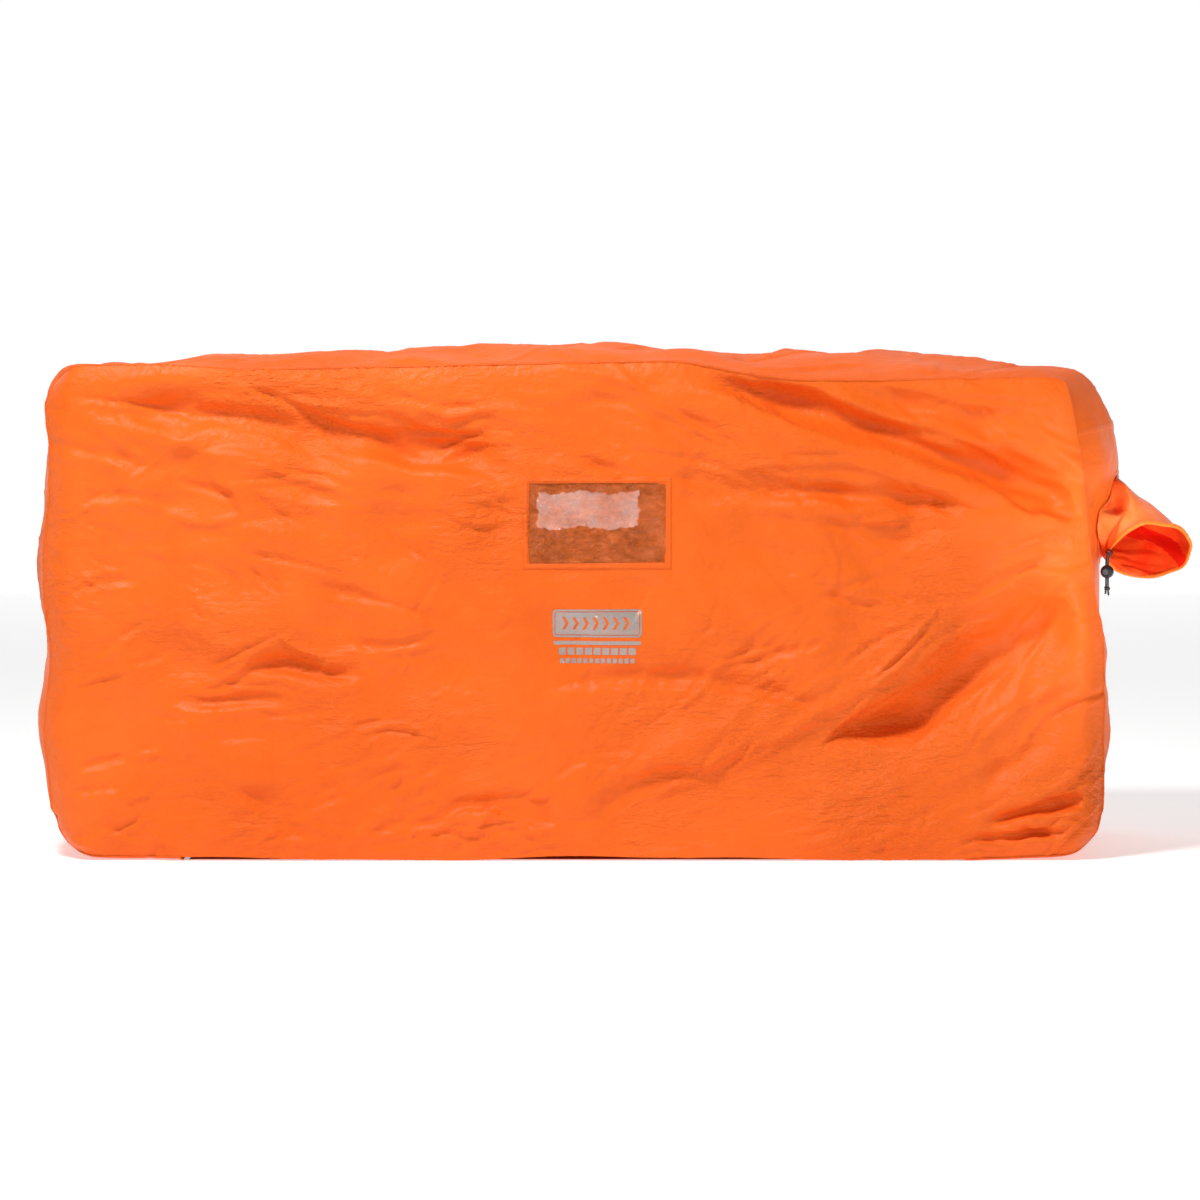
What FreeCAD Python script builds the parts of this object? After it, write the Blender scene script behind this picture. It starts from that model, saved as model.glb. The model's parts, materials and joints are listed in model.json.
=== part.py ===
"""Emergency group shelter bag: boxy fabric shell, clear windows, two fold-up seats and a snorkel vent.

Units are millimetres. +Z is up and z = 0 is the ground. +X runs along the shelter towards the end that has
the vent, and -Y is the front wall, with the printed badge. Cloth is drawn thicker than it is, as CLOTH.
"""

import math
import os

import FreeCAD
import Part
from FreeCAD import Vector

# ---- driving dimensions ----------------------------------------------------------------------------------
SHELL_X = -73.0  # middle of the shell, which puts the whole part's box, vent included, over the origin
SEAM_HALF_LENGTH = 915.0  # half the front and back walls' length
CROWN_HALF_LENGTH = 965.0  # half the length halfway between the walls, where the ends belly out
SEAM_HEIGHT = 880.0
CROWN_HEIGHT = 915.0
HALF_DEPTH = 300.0
SEAM_CORNER = 80.0  # corner radius of the walls' outline
CROWN_CORNER = 95.0
CLOTH = 2.0
GAP = 0.3  # kept between pieces of different bodies

ROOF_SEAM_Z = 760.0  # the ends are joined to the roof here, below the top corners
FLOOR_STRIP_END = 700.0  # the end cloth turns under and stops this far from the shell's middle

WINDOW_WIDTH = 244.0
WINDOW_HEIGHT = 143.0
WINDOW_CENTRE = Vector(SHELL_X + 40.0, 0.0, 603.0)
BACK_WINDOW_WIDTH = 210.0
BACK_WINDOW_HEIGHT = 84.0
BACK_WINDOW_CENTRE = Vector(SHELL_X + 22.0, 0.0, 606.0)
WINDOW_OVERLAP = 11.0  # film sewn behind the cloth all round
FILM = 0.8
TAPE = 1.0
TAPE_WIDTH = 12.0

PRINT = 0.3  # thickness of the printed ink
BADGE_WIDTH = 159.0
BADGE_HEIGHT = 50.0
BADGE_Z = 425.0

SEAT_WIDTH = 170.0
SEAT_HALF_LENGTH = 690.0
SEAT_HINGE_INSET = 1.5
SEAT_MARGIN = 2.0
HEM_WIDTH = 15.0

VENT_OUTER = 75.0  # radius of the sleeve
VENT_Y = -140.0  # where the sleeve is sewn to the end wall
VENT_Z = 608.0
VENT_DROOP = 48.0  # degrees below the level, towards the front wall
VENT_STUB = 4.0
VENT_BEND_RADIUS = 78.0
VENT_BEND = 72.0  # degrees
VENT_CUFF = 26.0
VENT_STAND_OFF = 2.2  # between the end wall's belly and the sleeve
HEM_TUBE = 5.0
HEM_BORE = 3.4
DRAWCORD = 3.5
EYELET_RIM = 6.4
EYELET_BORE = 4.2

TAIL_TILT = 14.0  # degrees round the mouth, up from its side nearest the end wall
TAIL_LEAN = 30.0  # degrees between the tail's start and the way the mouth faces
TAIL_RUN = 11.0  # length of each of the tail's two short runs before it hangs straight
CORD_PITCH = 3.8  # between the two strands' middles
KNOT_TOP = 488.0
KNOT_HEIGHT = 9.0
KNOT_RADIUS = 5.2
CORD_TIP_Z = 471.0

LOCK_RADIUS = 12.0
LOCK_Z = 514.0
LOCK_FLAT = 9.0  # from the lock's middle to its flat face, where the plunger comes out
LOCK_POCKET = 9.0  # from the lock's middle to the floor of the spring's pocket
PLUNGER_RADIUS = 5.6
PLUNGER_CLEARANCE = 0.15
PLUNGER_PROUD = 5.0
PLUNGER_TRAVEL = 3.5
LOCK_BORE_WIDTH = 8.4  # across both strands
LOCK_BORE_HEIGHT = 4.6
SPRING_WIRE = 0.5  # four turns stack to 2 mm, and 2.2 mm is left at full press
SPRING_RADIUS = 3.6
SPRING_TURNS = 4

X = Vector(1, 0, 0)
Y = Vector(0, 1, 0)
Z = Vector(0, 0, 1)


# ---- helpers ---------------------------------------------------------------------------------------------
def box(x0, x1, y0, y1, z0, z1):
    return Part.makeBox(x1 - x0, y1 - y0, z1 - z0, Vector(x0, y0, z0))


def rounded_outline(x_mid, half_length, z0, z1, radius, y):
    """A rounded rectangle in the plane of constant y, as one closed wire."""
    left, right = x_mid - half_length, x_mid + half_length
    k = radius * (1 - math.sqrt(0.5))

    def arc(a, mid, b):
        return Part.Arc(Vector(*a), Vector(*mid), Vector(*b)).toShape()

    def line(a, b):
        return Part.LineSegment(Vector(*a), Vector(*b)).toShape()

    r = radius
    return Part.Wire([
        line((left + r, y, z0), (right - r, y, z0)),
        arc((right - r, y, z0), (right - k, y, z0 + k), (right, y, z0 + r)),
        line((right, y, z0 + r), (right, y, z1 - r)),
        arc((right, y, z1 - r), (right - k, y, z1 - k), (right - r, y, z1)),
        line((right - r, y, z1), (left + r, y, z1)),
        arc((left + r, y, z1), (left + k, y, z1 - k), (left, y, z1 - r)),
        line((left, y, z1 - r), (left, y, z0 + r)),
        arc((left, y, z0 + r), (left + k, y, z0 + k), (left + r, y, z0)),
    ])


def crowned_block(inset):
    """The shell's outer form, bellied between the walls, shrunk by inset all round."""
    sections = [
        (SEAM_HALF_LENGTH, SEAM_HEIGHT, SEAM_CORNER, -HALF_DEPTH),
        (CROWN_HALF_LENGTH, CROWN_HEIGHT, CROWN_CORNER, 0.0),
        (SEAM_HALF_LENGTH, SEAM_HEIGHT, SEAM_CORNER, HALF_DEPTH),
    ]
    wires = [
        rounded_outline(SHELL_X, half - inset, inset, top - inset, corner - inset, y)
        for half, top, corner, y in sections
    ]
    return Part.makeLoft(wires, True, False)


def plate(wire, y0, y1):
    """A flat plate between two planes of constant y; the wire lies at y0."""
    return Part.Face(wire).extrude(Vector(0, y1 - y0, 0))


def rounded_plate(centre, width, height, radius, y0, y1):
    wire = rounded_outline(
        centre.x, width / 2, centre.z - height / 2, centre.z + height / 2, radius, y0
    )
    return plate(wire, y0, y1)


def save(name, shape):
    solids = shape.Solids
    if not solids or not shape.isValid():
        raise SystemExit(f"{name}: {len(solids)} solids, valid {shape.isValid()}")
    whole = solids[0] if len(solids) == 1 else Part.makeCompound(solids)
    whole.exportStep(f"parts/{name}.step")
    b = whole.BoundBox
    print(
        f"{name}: {len(solids)} solid(s), {whole.Volume / 1000:.2f} cm3, "
        f"x {b.XMin:.1f}..{b.XMax:.1f} y {b.YMin:.1f}..{b.YMax:.1f} z {b.ZMin:.1f}..{b.ZMax:.1f}"
    )


# ---- shell -----------------------------------------------------------------------------------------------
def make_walls():
    """Front and back walls: flat rounded plates with a window hole each."""
    for name, side, width, height, centre in (
        ("front_wall", -1, WINDOW_WIDTH, WINDOW_HEIGHT, WINDOW_CENTRE),
        ("back_wall", 1, BACK_WINDOW_WIDTH, BACK_WINDOW_HEIGHT, BACK_WINDOW_CENTRE),
    ):
        y0, y1 = sorted((side * HALF_DEPTH, side * (HALF_DEPTH + CLOTH)))
        outline = rounded_outline(SHELL_X, SEAM_HALF_LENGTH, 0, SEAM_HEIGHT, SEAM_CORNER, y0)
        hole = box(
            centre.x - width / 2, centre.x + width / 2, y0 - 1, y1 + 1,
            centre.z - height / 2, centre.z + height / 2,
        )
        save(name, plate(outline, y0, y1).cut(hole))


def make_windows():
    """Clear film behind each hole, and the tape that is sewn round the film's edge on the inside."""
    for name, side, width, height, centre in (
        ("front_window", -1, WINDOW_WIDTH, WINDOW_HEIGHT, WINDOW_CENTRE),
        ("back_window", 1, BACK_WINDOW_WIDTH, BACK_WINDOW_HEIGHT, BACK_WINDOW_CENTRE),
    ):
        film_width = width + 2 * WINDOW_OVERLAP
        film_height = height + 2 * WINDOW_OVERLAP
        outer = side * HALF_DEPTH
        inner = side * (HALF_DEPTH - FILM)
        y0, y1 = sorted((outer, inner))
        save(name, rounded_plate(centre, film_width, film_height, 2.0, y0, y1))
        y0, y1 = sorted((inner, inner - side * TAPE))
        tape = rounded_plate(centre, film_width + 6, film_height + 6, 3.0, y0, y1)
        clear = rounded_plate(centre, width - 2, height - 2, 2.0, y0 - 1, y1 + 1)
        save(name + "_tape", tape.cut(clear))


def gusset():
    """The cloth that runs over the roof and down both ends, as a tube open at the two walls."""
    return crowned_block(0.0).cut(crowned_block(CLOTH))


def end_wall_x(y):
    """Where the vent end's outer face is, at mid height: the loft's arch is a parabola in y."""
    share = 1 - (y / HALF_DEPTH) ** 2
    return SHELL_X + SEAM_HALF_LENGTH + share * (CROWN_HALF_LENGTH - SEAM_HALF_LENGTH)


def make_gusset(vent):
    """Roof, the two ends and the strips where they turn under, which the part rests on."""
    tube = gusset()
    corner = SEAM_HALF_LENGTH - SEAM_CORNER
    reach = CROWN_HALF_LENGTH + 10
    deep = HALF_DEPTH + 10
    save("roof_panel", tube.common(
        box(SHELL_X - reach, SHELL_X + reach, -deep, deep, ROOF_SEAM_Z, CROWN_HEIGHT + 10)))
    for name, side in (("left_end_panel", -1), ("right_end_panel", 1)):
        x0, x1 = sorted((SHELL_X + side * corner, SHELL_X + side * reach))
        panel = tube.common(box(x0, x1, -deep, deep, -10, ROOF_SEAM_Z))
        if side > 0:
            panel = panel.cut(vent.through_hole())
        save(name, panel)
    for name, side in (("left_floor_strip", -1), ("right_floor_strip", 1)):
        x0, x1 = sorted((SHELL_X + side * corner, SHELL_X + side * FLOOR_STRIP_END))
        strip = box(x0, x1, -HALF_DEPTH, HALF_DEPTH, 0, CLOTH)
        save(name, strip)
        strip_end = SHELL_X + side * FLOOR_STRIP_END
        hx0, hx1 = sorted((strip_end, strip_end + side * HEM_WIDTH))
        inset = CLOTH + 1
        save(name.replace("strip", "hem"), box(
            hx0, hx1, -HALF_DEPTH + inset, HALF_DEPTH - inset, CLOTH, 2 * CLOTH))


def make_seam_tapes():
    """Sealing tape over the wall seams, inside the shell, from one bottom corner over to the other."""
    inner = CLOTH + GAP
    for name, side in (("front_seam_tape", -1), ("back_seam_tape", 1)):
        y0, y1 = sorted((side * HALF_DEPTH, side * (HALF_DEPTH - TAPE)))
        rings = [
            plate(rounded_outline(SHELL_X, SEAM_HALF_LENGTH - inset, inset,
                                  SEAM_HEIGHT - inset, SEAM_CORNER - inset, y), y, end)
            for inset, y, end in ((inner, y0, y1), (inner + TAPE_WIDTH, y0 - 1, y1 + 1))
        ]
        upper = box(
            SHELL_X - SEAM_HALF_LENGTH, SHELL_X + SEAM_HALF_LENGTH, y0 - 1, y1 + 1,
            SEAM_CORNER + 10, SEAM_HEIGHT)
        save(name, rings[0].cut(rings[1]).common(upper))


# ---- print -----------------------------------------------------------------------------------------------
def make_print():
    """Silver badge with a plain chevron pattern knocked out, a bar and two rows of blocks under it."""
    y0, y1 = -(HALF_DEPTH + CLOTH + PRINT), -(HALF_DEPTH + CLOTH)
    x_mid = WINDOW_CENTRE.x

    def bar(x, z, width, height, radius):
        return rounded_plate(Vector(x, 0, z), width, height, radius, y0, y1)

    badge = bar(x_mid, BADGE_Z, BADGE_WIDTH, BADGE_HEIGHT, 7)
    line_out = rounded_plate(Vector(x_mid, 0, BADGE_Z), BADGE_WIDTH - 7, BADGE_HEIGHT - 7, 5, y0 - 1, y1 + 1)
    line_in = rounded_plate(Vector(x_mid, 0, BADGE_Z), BADGE_WIDTH - 10, BADGE_HEIGHT - 10, 4, y0 - 1, y1 + 1)
    pieces = [badge.cut(line_out)]
    field = badge.common(line_in)
    chevrons = 7
    pitch = 18.0
    half_height = 11.0
    stroke = 5.0
    for i in range(chevrons):
        x = x_mid + (i - (chevrons - 1) / 2) * pitch - 3
        points = [
            (x - stroke, half_height), (x, half_height), (x + 6, 0), (x, -half_height),
            (x - stroke, -half_height), (x + 6 - stroke, 0),
        ]
        wire = Part.makePolygon([Vector(px, y0 - 1, BADGE_Z + pz) for px, pz in points + points[:1]])
        field = field.cut(Part.Face(wire).extrude(Vector(0, 2 + PRINT, 0)))
    pieces.append(field)
    pieces.append(bar(x_mid, BADGE_Z - 35, BADGE_WIDTH - 4, 7, 1))
    for count, z, height, span in ((9, BADGE_Z - 50, 13, 140.0), (13, BADGE_Z - 67, 9, 136.0)):
        pitch = span / count
        for i in range(count):
            pieces.append(bar(x_mid + (i - (count - 1) / 2) * pitch, z, pitch - 3, height, 1.2))
    save("front_print", Part.makeCompound(pieces))


# ---- seats -----------------------------------------------------------------------------------------------
def make_seats():
    """A seat panel inside each long wall, hinged along the wall's bottom seam, with a bound free edge."""
    for name, side in (("front_seat", 1), ("back_seat", -1)):
        near = -side * (HALF_DEPTH - SEAT_HINGE_INSET - SEAT_MARGIN)
        far = near + side * SEAT_WIDTH
        y0, y1 = sorted((near, far))
        x0, x1 = SHELL_X - SEAT_HALF_LENGTH, SHELL_X + SEAT_HALF_LENGTH
        save(name, box(x0, x1, y0, y1, 0, CLOTH))
        h0, h1 = sorted((far, far - side * HEM_WIDTH))
        save(name + "_hem", box(x0, x1, h0, h1, CLOTH, 2 * CLOTH))


# ---- vent ------------------------------------------------------------------------------------------------
class Vent:
    """The snorkel sleeve: a bent tube that swivels about the end wall's normal where it is sewn on."""

    def __init__(self):
        slope = 2 * (CROWN_HALF_LENGTH - SEAM_HALF_LENGTH) * VENT_Y / HALF_DEPTH**2
        self.out = Vector(1, slope, 0).normalize()
        droop, bend = math.radians(VENT_DROOP), math.radians(VENT_BEND)
        self.down = Vector(self.out.y, -self.out.x, 0) * math.cos(droop) - Z * math.sin(droop)
        self.wall = Vector(end_wall_x(VENT_Y), VENT_Y, VENT_Z)
        self.root = self.wall + self.out * VENT_STAND_OFF
        self.turn = self.out.cross(self.down)
        self.bend_start = self.root + self.out * VENT_STUB
        self.bend_centre = self.bend_start + self.down * VENT_BEND_RADIUS
        self.bend_end = (
            self.bend_start
            + self.out * VENT_BEND_RADIUS * math.sin(bend)
            + self.down * VENT_BEND_RADIUS * (1 - math.cos(bend))
        )
        self.facing = self.out * math.cos(bend) + self.down * math.sin(bend)
        self.mouth = self.bend_end + self.facing * VENT_CUFF

        near = (X * -1 + self.facing * self.facing.x).normalize()
        upper = self.facing.cross(near)
        upper = upper if upper.z > 0 else upper * -1
        tilt, lean = math.radians(TAIL_TILT), math.radians(TAIL_LEAN)
        rim = near * math.cos(tilt) + upper * math.sin(tilt)
        self.tail_way = self.facing * math.cos(lean) + rim * math.sin(lean)
        self.hem_middle = self.mouth + rim * VENT_OUTER
        self.tail_start = self.hem_middle + self.tail_way * (HEM_TUBE + 1)

    def bent_bar(self, radius):
        """A solid bar of that radius along the sleeve's middle line."""
        face = Part.Face(Part.Wire(Part.makeCircle(radius, self.bend_start, self.out)))
        bend = face.revolve(self.bend_centre, self.turn, VENT_BEND)
        stub = Part.makeCylinder(radius, VENT_STUB, self.root, self.out)
        cuff = Part.makeCylinder(radius, VENT_CUFF, self.bend_end, self.facing)
        return stub.fuse([bend, cuff])

    def through_hole(self):
        depth = 60.0
        return Part.makeCylinder(VENT_OUTER - CLOTH, depth, self.wall - self.out * depth / 2, self.out)

    def ring(self, section):
        return Part.makeTorus(VENT_OUTER, section, self.mouth, self.facing)

    def eyelet_bar(self, radius, start, length):
        return Part.makeCylinder(radius, length, self.hem_middle + self.tail_way * start, self.tail_way)


def make_vent(vent):
    hem = vent.ring(HEM_TUBE)
    sleeve = vent.bent_bar(VENT_OUTER).cut(vent.bent_bar(VENT_OUTER - CLOTH)).cut(hem)
    save("vent_sleeve", max(sleeve.Solids, key=lambda s: s.Volume))
    save("vent_hem", hem.cut(vent.ring(HEM_BORE)).cut(vent.eyelet_bar(EYELET_BORE, 0, 20)))
    eyelet = vent.eyelet_bar(EYELET_RIM, HEM_TUBE - 2.0, 3.0).cut(vent.eyelet_bar(EYELET_BORE, 0, 20))
    save("vent_cord_eyelet", max(eyelet.cut(hem).Solids, key=lambda s: s.Volume))
    save("vent_drawcord", vent.ring(DRAWCORD / 2))
    layer = crowned_block(CLOTH).cut(crowned_block(CLOTH + TAPE))
    outer = Part.makeCylinder(VENT_OUTER + TAPE_WIDTH, 80, vent.wall - vent.out * 70, vent.out)
    save("vent_seam_ring", layer.common(outer).cut(vent.through_hole()))
    for name in ("root", "out", "mouth", "facing", "tail_start", "tail_way"):
        print("vent", name, *(f"{c:.4f}" for c in getattr(vent, name)))


# ---- cord and cord lock ----------------------------------------------------------------------------------
def cord_tube(points, diameter):
    """A tube along straight runs joined by tangent arcs, each arc as large as its two runs allow."""
    edges = []
    start = points[0]
    for before, here, after in zip(points, points[1:], points[2:]):
        u = (here - before).normalize()
        v = (after - here).normalize()
        half_turn = u.getAngle(v) / 2
        trim = 0.45 * min((here - before).Length, (after - here).Length)
        radius = trim / math.tan(half_turn)
        a, b = here - u * trim, here + v * trim
        middle = here + (v - u).normalize() * (radius / math.cos(half_turn) - radius)
        edges.append(Part.LineSegment(start, a).toShape())
        edges.append(Part.Arc(a, middle, b).toShape())
        print(f"  cord turn {math.degrees(2 * half_turn):.0f} degrees, radius {radius:.1f}")
        start = b
    edges.append(Part.LineSegment(start, points[-1]).toShape())
    wire = Part.Wire(edges)
    profile = Part.Wire(Part.makeCircle(diameter / 2, points[0], points[1] - points[0]))
    tube = wire.makePipeShell([profile], True, True)
    print(f"  cord length {wire.Length:.1f}, volume {tube.Volume:.0f} for "
          f"{wire.Length * math.pi * diameter**2 / 4:.0f}")
    return tube


class Tail:
    """The doubled cord that hangs from the eyelet, with the axes the cord lock is turned to."""

    def __init__(self, vent):
        first = vent.tail_start + vent.tail_way * TAIL_RUN
        halfway = (vent.tail_way - Z).normalize()
        self.route = [vent.tail_start, first, first + halfway * TAIL_RUN]
        self.top = self.route[-1]
        self.lock_axis = Vector(vent.tail_way.x, vent.tail_way.y, 0).normalize()
        self.across = Z.cross(self.lock_axis)

    def point(self, along, across, z):
        level = Vector(self.top.x, self.top.y, z)
        return level + self.lock_axis * along + self.across * across

    def bar(self, along, radius, length):
        return Part.makeCylinder(radius, length, self.point(along, 0, LOCK_Z), self.lock_axis)

    def bore(self, along0, along1):
        """The through hole for both strands, between two distances along the lock's axis."""
        half = LOCK_BORE_WIDTH / 2
        corners = [(along0, -half), (along1, -half), (along1, half), (along0, half), (along0, -half)]
        wire = Part.makePolygon([self.point(a, b, LOCK_Z - 20) for a, b in corners])
        return Part.Face(wire).extrude(Z * 40)


def make_cords(tail):
    route = tail.route + [tail.point(0, 0, KNOT_TOP)]
    for name, side in (("cord_strand_left", -0.5), ("cord_strand_right", 0.5)):
        offset = tail.across * side * CORD_PITCH
        points = [p + offset for p in route]
        print(name, [tuple(round(c, 1) for c in p) for p in points])
        save(name, cord_tube(points, DRAWCORD))
    bottom = tail.point(0, 0, KNOT_TOP - KNOT_HEIGHT)
    knot = Part.makeCylinder(KNOT_RADIUS, KNOT_HEIGHT, bottom, Z)
    knot = knot.makeFillet(KNOT_HEIGHT * 0.3, knot.Edges[0:3:2])
    for side in (-0.5, 0.5):
        foot = tail.point(0, side * CORD_PITCH, CORD_TIP_Z)
        knot = knot.fuse(Part.makeCylinder(DRAWCORD / 2, KNOT_TOP - KNOT_HEIGHT / 2 - CORD_TIP_Z, foot, Z))
    save("cord_end_knot", knot)


def make_cord_lock(tail):
    """Ball toggle: a barrel, a sprung plunger that comes out of its flat face, and a bore down through both."""
    half = LOCK_BORE_HEIGHT / 2
    floor = -LOCK_POCKET
    foot = -half - 1.0
    ball = Part.makeSphere(LOCK_RADIUS, tail.point(0, 0, LOCK_Z))
    barrel = ball.cut(tail.bar(LOCK_FLAT, 20, 20))
    barrel = barrel.cut(tail.bar(floor, PLUNGER_RADIUS + PLUNGER_CLEARANCE, 30))
    save("cord_lock_barrel", barrel.cut(tail.bore(-half, half)))
    plunger = tail.bar(foot, PLUNGER_RADIUS, LOCK_FLAT + PLUNGER_PROUD - foot)
    tip = tail.point(LOCK_FLAT + PLUNGER_PROUD, 0, LOCK_Z)
    rim = [e for e in plunger.Edges if (e.CenterOfMass - tip).Length < 0.1]
    plunger = plunger.makeFillet(1.5, rim).cut(tail.bore(-half + 0.2, half + PLUNGER_TRAVEL + 0.2))
    save("cord_lock_plunger", plunger)

    room = foot - floor - 0.3
    pitch = (room - SPRING_WIRE) / (SPRING_TURNS - 1)
    turns = [
        Part.makeTorus(
            SPRING_RADIUS, SPRING_WIRE / 2,
            tail.point(floor + 0.15 + SPRING_WIRE / 2 + i * pitch, 0, LOCK_Z), tail.lock_axis)
        for i in range(SPRING_TURNS)
    ]
    save("cord_lock_spring", Part.makeCompound(turns))
    for name in ("lock_axis", "across", "top"):
        print("tail", name, *(f"{c:.4f}" for c in getattr(tail, name)))


def main():
    os.makedirs("parts", exist_ok=True)
    vent = Vent()
    make_walls()
    make_windows()
    make_gusset(vent)
    make_seam_tapes()
    make_print()
    make_seats()
    make_vent(vent)
    tail = Tail(vent)
    make_cords(tail)
    make_cord_lock(tail)


main()
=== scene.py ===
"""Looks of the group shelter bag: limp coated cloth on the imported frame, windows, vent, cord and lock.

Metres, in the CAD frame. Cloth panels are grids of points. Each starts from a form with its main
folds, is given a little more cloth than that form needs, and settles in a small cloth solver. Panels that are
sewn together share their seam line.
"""

import json
import math

import bmesh
import bpy
import numpy as np
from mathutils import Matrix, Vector


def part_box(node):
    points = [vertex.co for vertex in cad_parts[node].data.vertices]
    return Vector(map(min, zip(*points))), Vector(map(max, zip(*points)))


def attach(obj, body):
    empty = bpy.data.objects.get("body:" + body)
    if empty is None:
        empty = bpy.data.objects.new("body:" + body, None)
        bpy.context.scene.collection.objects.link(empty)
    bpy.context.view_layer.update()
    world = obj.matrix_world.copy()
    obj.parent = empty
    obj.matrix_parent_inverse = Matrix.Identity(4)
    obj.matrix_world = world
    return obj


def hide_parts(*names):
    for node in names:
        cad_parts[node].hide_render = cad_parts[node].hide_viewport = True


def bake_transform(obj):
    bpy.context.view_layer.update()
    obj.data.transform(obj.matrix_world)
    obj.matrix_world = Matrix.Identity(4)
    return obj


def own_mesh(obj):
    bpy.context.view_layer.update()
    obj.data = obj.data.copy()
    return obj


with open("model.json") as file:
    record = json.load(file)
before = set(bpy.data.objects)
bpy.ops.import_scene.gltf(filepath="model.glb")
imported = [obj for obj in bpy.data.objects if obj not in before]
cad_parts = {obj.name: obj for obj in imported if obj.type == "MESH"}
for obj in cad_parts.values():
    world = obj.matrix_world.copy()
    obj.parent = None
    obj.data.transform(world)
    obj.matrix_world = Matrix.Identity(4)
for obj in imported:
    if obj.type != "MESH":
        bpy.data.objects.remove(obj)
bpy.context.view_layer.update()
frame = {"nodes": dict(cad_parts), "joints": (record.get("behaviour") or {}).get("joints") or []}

# ---- places from the frame -------------------------------------------------------------------------------
WALL_LOW, WALL_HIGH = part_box("front_wall")
WINDOW_LOW, WINDOW_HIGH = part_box("front_window")
BACK_WINDOW_LOW, BACK_WINDOW_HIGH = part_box("back_window")
PRINT_LOW, PRINT_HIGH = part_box("front_print")
MID = (WALL_LOW.x + WALL_HIGH.x) / 2  # the shell's middle; panels are shaped about it and then moved here
HALF_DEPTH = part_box("back_wall")[0].y
FILM_OVERLAP = 0.011
STRIP_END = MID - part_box("left_floor_strip")[1].x  # how far from the middle the turned-under strips stop
CORNER = 0.078
WALL_LENGTH, WALL_HEIGHT = 1.88, 0.88  # a wall's rough size, for the scale of its edges and relief


# ---- small numeric tools ---------------------------------------------------------------------------------
def curve(points, smooth=0.02):
    """A smooth function of one number through given (where, value) pairs."""
    where = np.array([p[0] for p in points], float)
    value = np.array([p[1] for p in points], float)
    span = where[-1] - where[0]
    fine = np.linspace(where[0] - span * 0.2, where[-1] + span * 0.2, 600)
    rough = np.interp(fine, where, value)
    step = fine[1] - fine[0]
    reach = max(1, int(smooth * 2.5 / step))
    kernel = np.exp(-0.5 * (np.arange(-reach, reach + 1) * step / smooth) ** 2)
    padded = np.pad(rough, reach, mode="edge")
    softened = np.convolve(padded, kernel / kernel.sum(), mode="valid")
    return lambda at: np.interp(at, fine, softened)


def step_up(x, low, high):
    t = np.clip((x - low) / (high - low), 0, 1)
    return t * t * (3 - 2 * t)


def noise_field(shape, spacing, low_size, high_size, seed, stretch=1.0):
    """Random relief with features between two sizes in metres, about 1 high; stretch > 1 is wider."""
    rng = np.random.default_rng(seed)
    rows, columns = shape
    tall, wide = rows * 2, columns * 2
    fz = np.fft.fftfreq(tall, spacing[1])[:, None] * 1.0
    fx = np.fft.fftfreq(wide, spacing[0])[None, :] * stretch
    size = 1 / np.maximum(np.hypot(fx, fz), 1e-9)
    band = step_up(size, low_size * 0.7, low_size * 1.3)
    band = band * (1 - step_up(size, high_size * 0.7, high_size * 1.3))
    spectrum = np.fft.fft2(rng.standard_normal((tall, wide))) * band
    field = np.real(np.fft.ifft2(spectrum))[:rows, :columns]
    return field / max(field.std(), 1e-9)


def path_distance(x, z, points):
    """For each place: signed distance from a smooth path, and how far along it, from 0 to 1."""
    knots = np.array(points, float)
    t = np.linspace(0, len(knots) - 1, 48)
    ctrl = np.vstack([2 * knots[0] - knots[1], knots, 2 * knots[-1] - knots[-2]])
    i = np.minimum(t.astype(int), len(knots) - 2)
    f = (t - i)[:, None]
    a, b, c, d = (ctrl[i + k] for k in range(4))
    line = 0.5 * (2 * b + (c - a) * f + (2 * a - 5 * b + 4 * c - d) * f**2 + (3 * b - a - 3 * c + d) * f**3)
    best = np.full(x.shape, 1e9)
    side = np.zeros(x.shape)
    along = np.zeros(x.shape)
    for k in range(len(line) - 1):
        p, q = line[k], line[k + 1]
        dx, dz = q - p
        s = np.clip(((x - p[0]) * dx + (z - p[1]) * dz) / (dx * dx + dz * dz), 0, 1)
        ex, ez = x - p[0] - s * dx, z - p[1] - s * dz
        r = np.hypot(ex, ez)
        near = r < best
        best = np.where(near, r, best)
        side = np.where(near, np.sign(dx * ez - dz * ex), side)
        along = np.where(near, (k + s) / (len(line) - 1), along)
    return best * side, along


def fold(x, z, points, depth, width, shelf=0.0, taper=(0.25, 0.25), grow=1.0):
    """Relief of one fold along a path, positive outwards.

    depth < 0 is a valley. shelf from 0 to 1 turns the valley into a step: a ridge on the path's left with the
    valley beside it. width may grow along the path by the factor grow.
    """
    d, s = path_distance(x, z, points)
    w = width * (1 + (grow - 1) * s)
    fade = step_up(s, 0, taper[0])
    if taper[1]:
        fade = fade * (1 - step_up(s, 1 - taper[1], 1))
    u = d / w
    valley = np.exp(-u * u)
    step = 1.9 * (u + 0.55) * np.exp(-((u + 0.1) ** 2))
    return depth * fade * ((1 - shelf) * valley - shelf * step)


# ---- cloth solver ----------------------------------------------------------------------------------------
OFFSETS = [  # grid neighbours (rows, columns) with how firmly each link holds
    ((0, 1), 1.0), ((1, 0), 1.0), ((1, 1), 0.35), ((1, -1), 0.35), ((0, 2), 0.10), ((2, 0), 0.10),
]


def pair(field, offset):
    """Views of a grid and of the same grid moved by offset, over the places where both exist."""
    dr, dc = offset
    rows, columns = field.shape[:2]
    if dc >= 0:
        return field[: rows - dr, : columns - dc], field[dr:, dc:]
    return field[: rows - dr, -dc:], field[dr:, : columns + dc]


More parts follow.
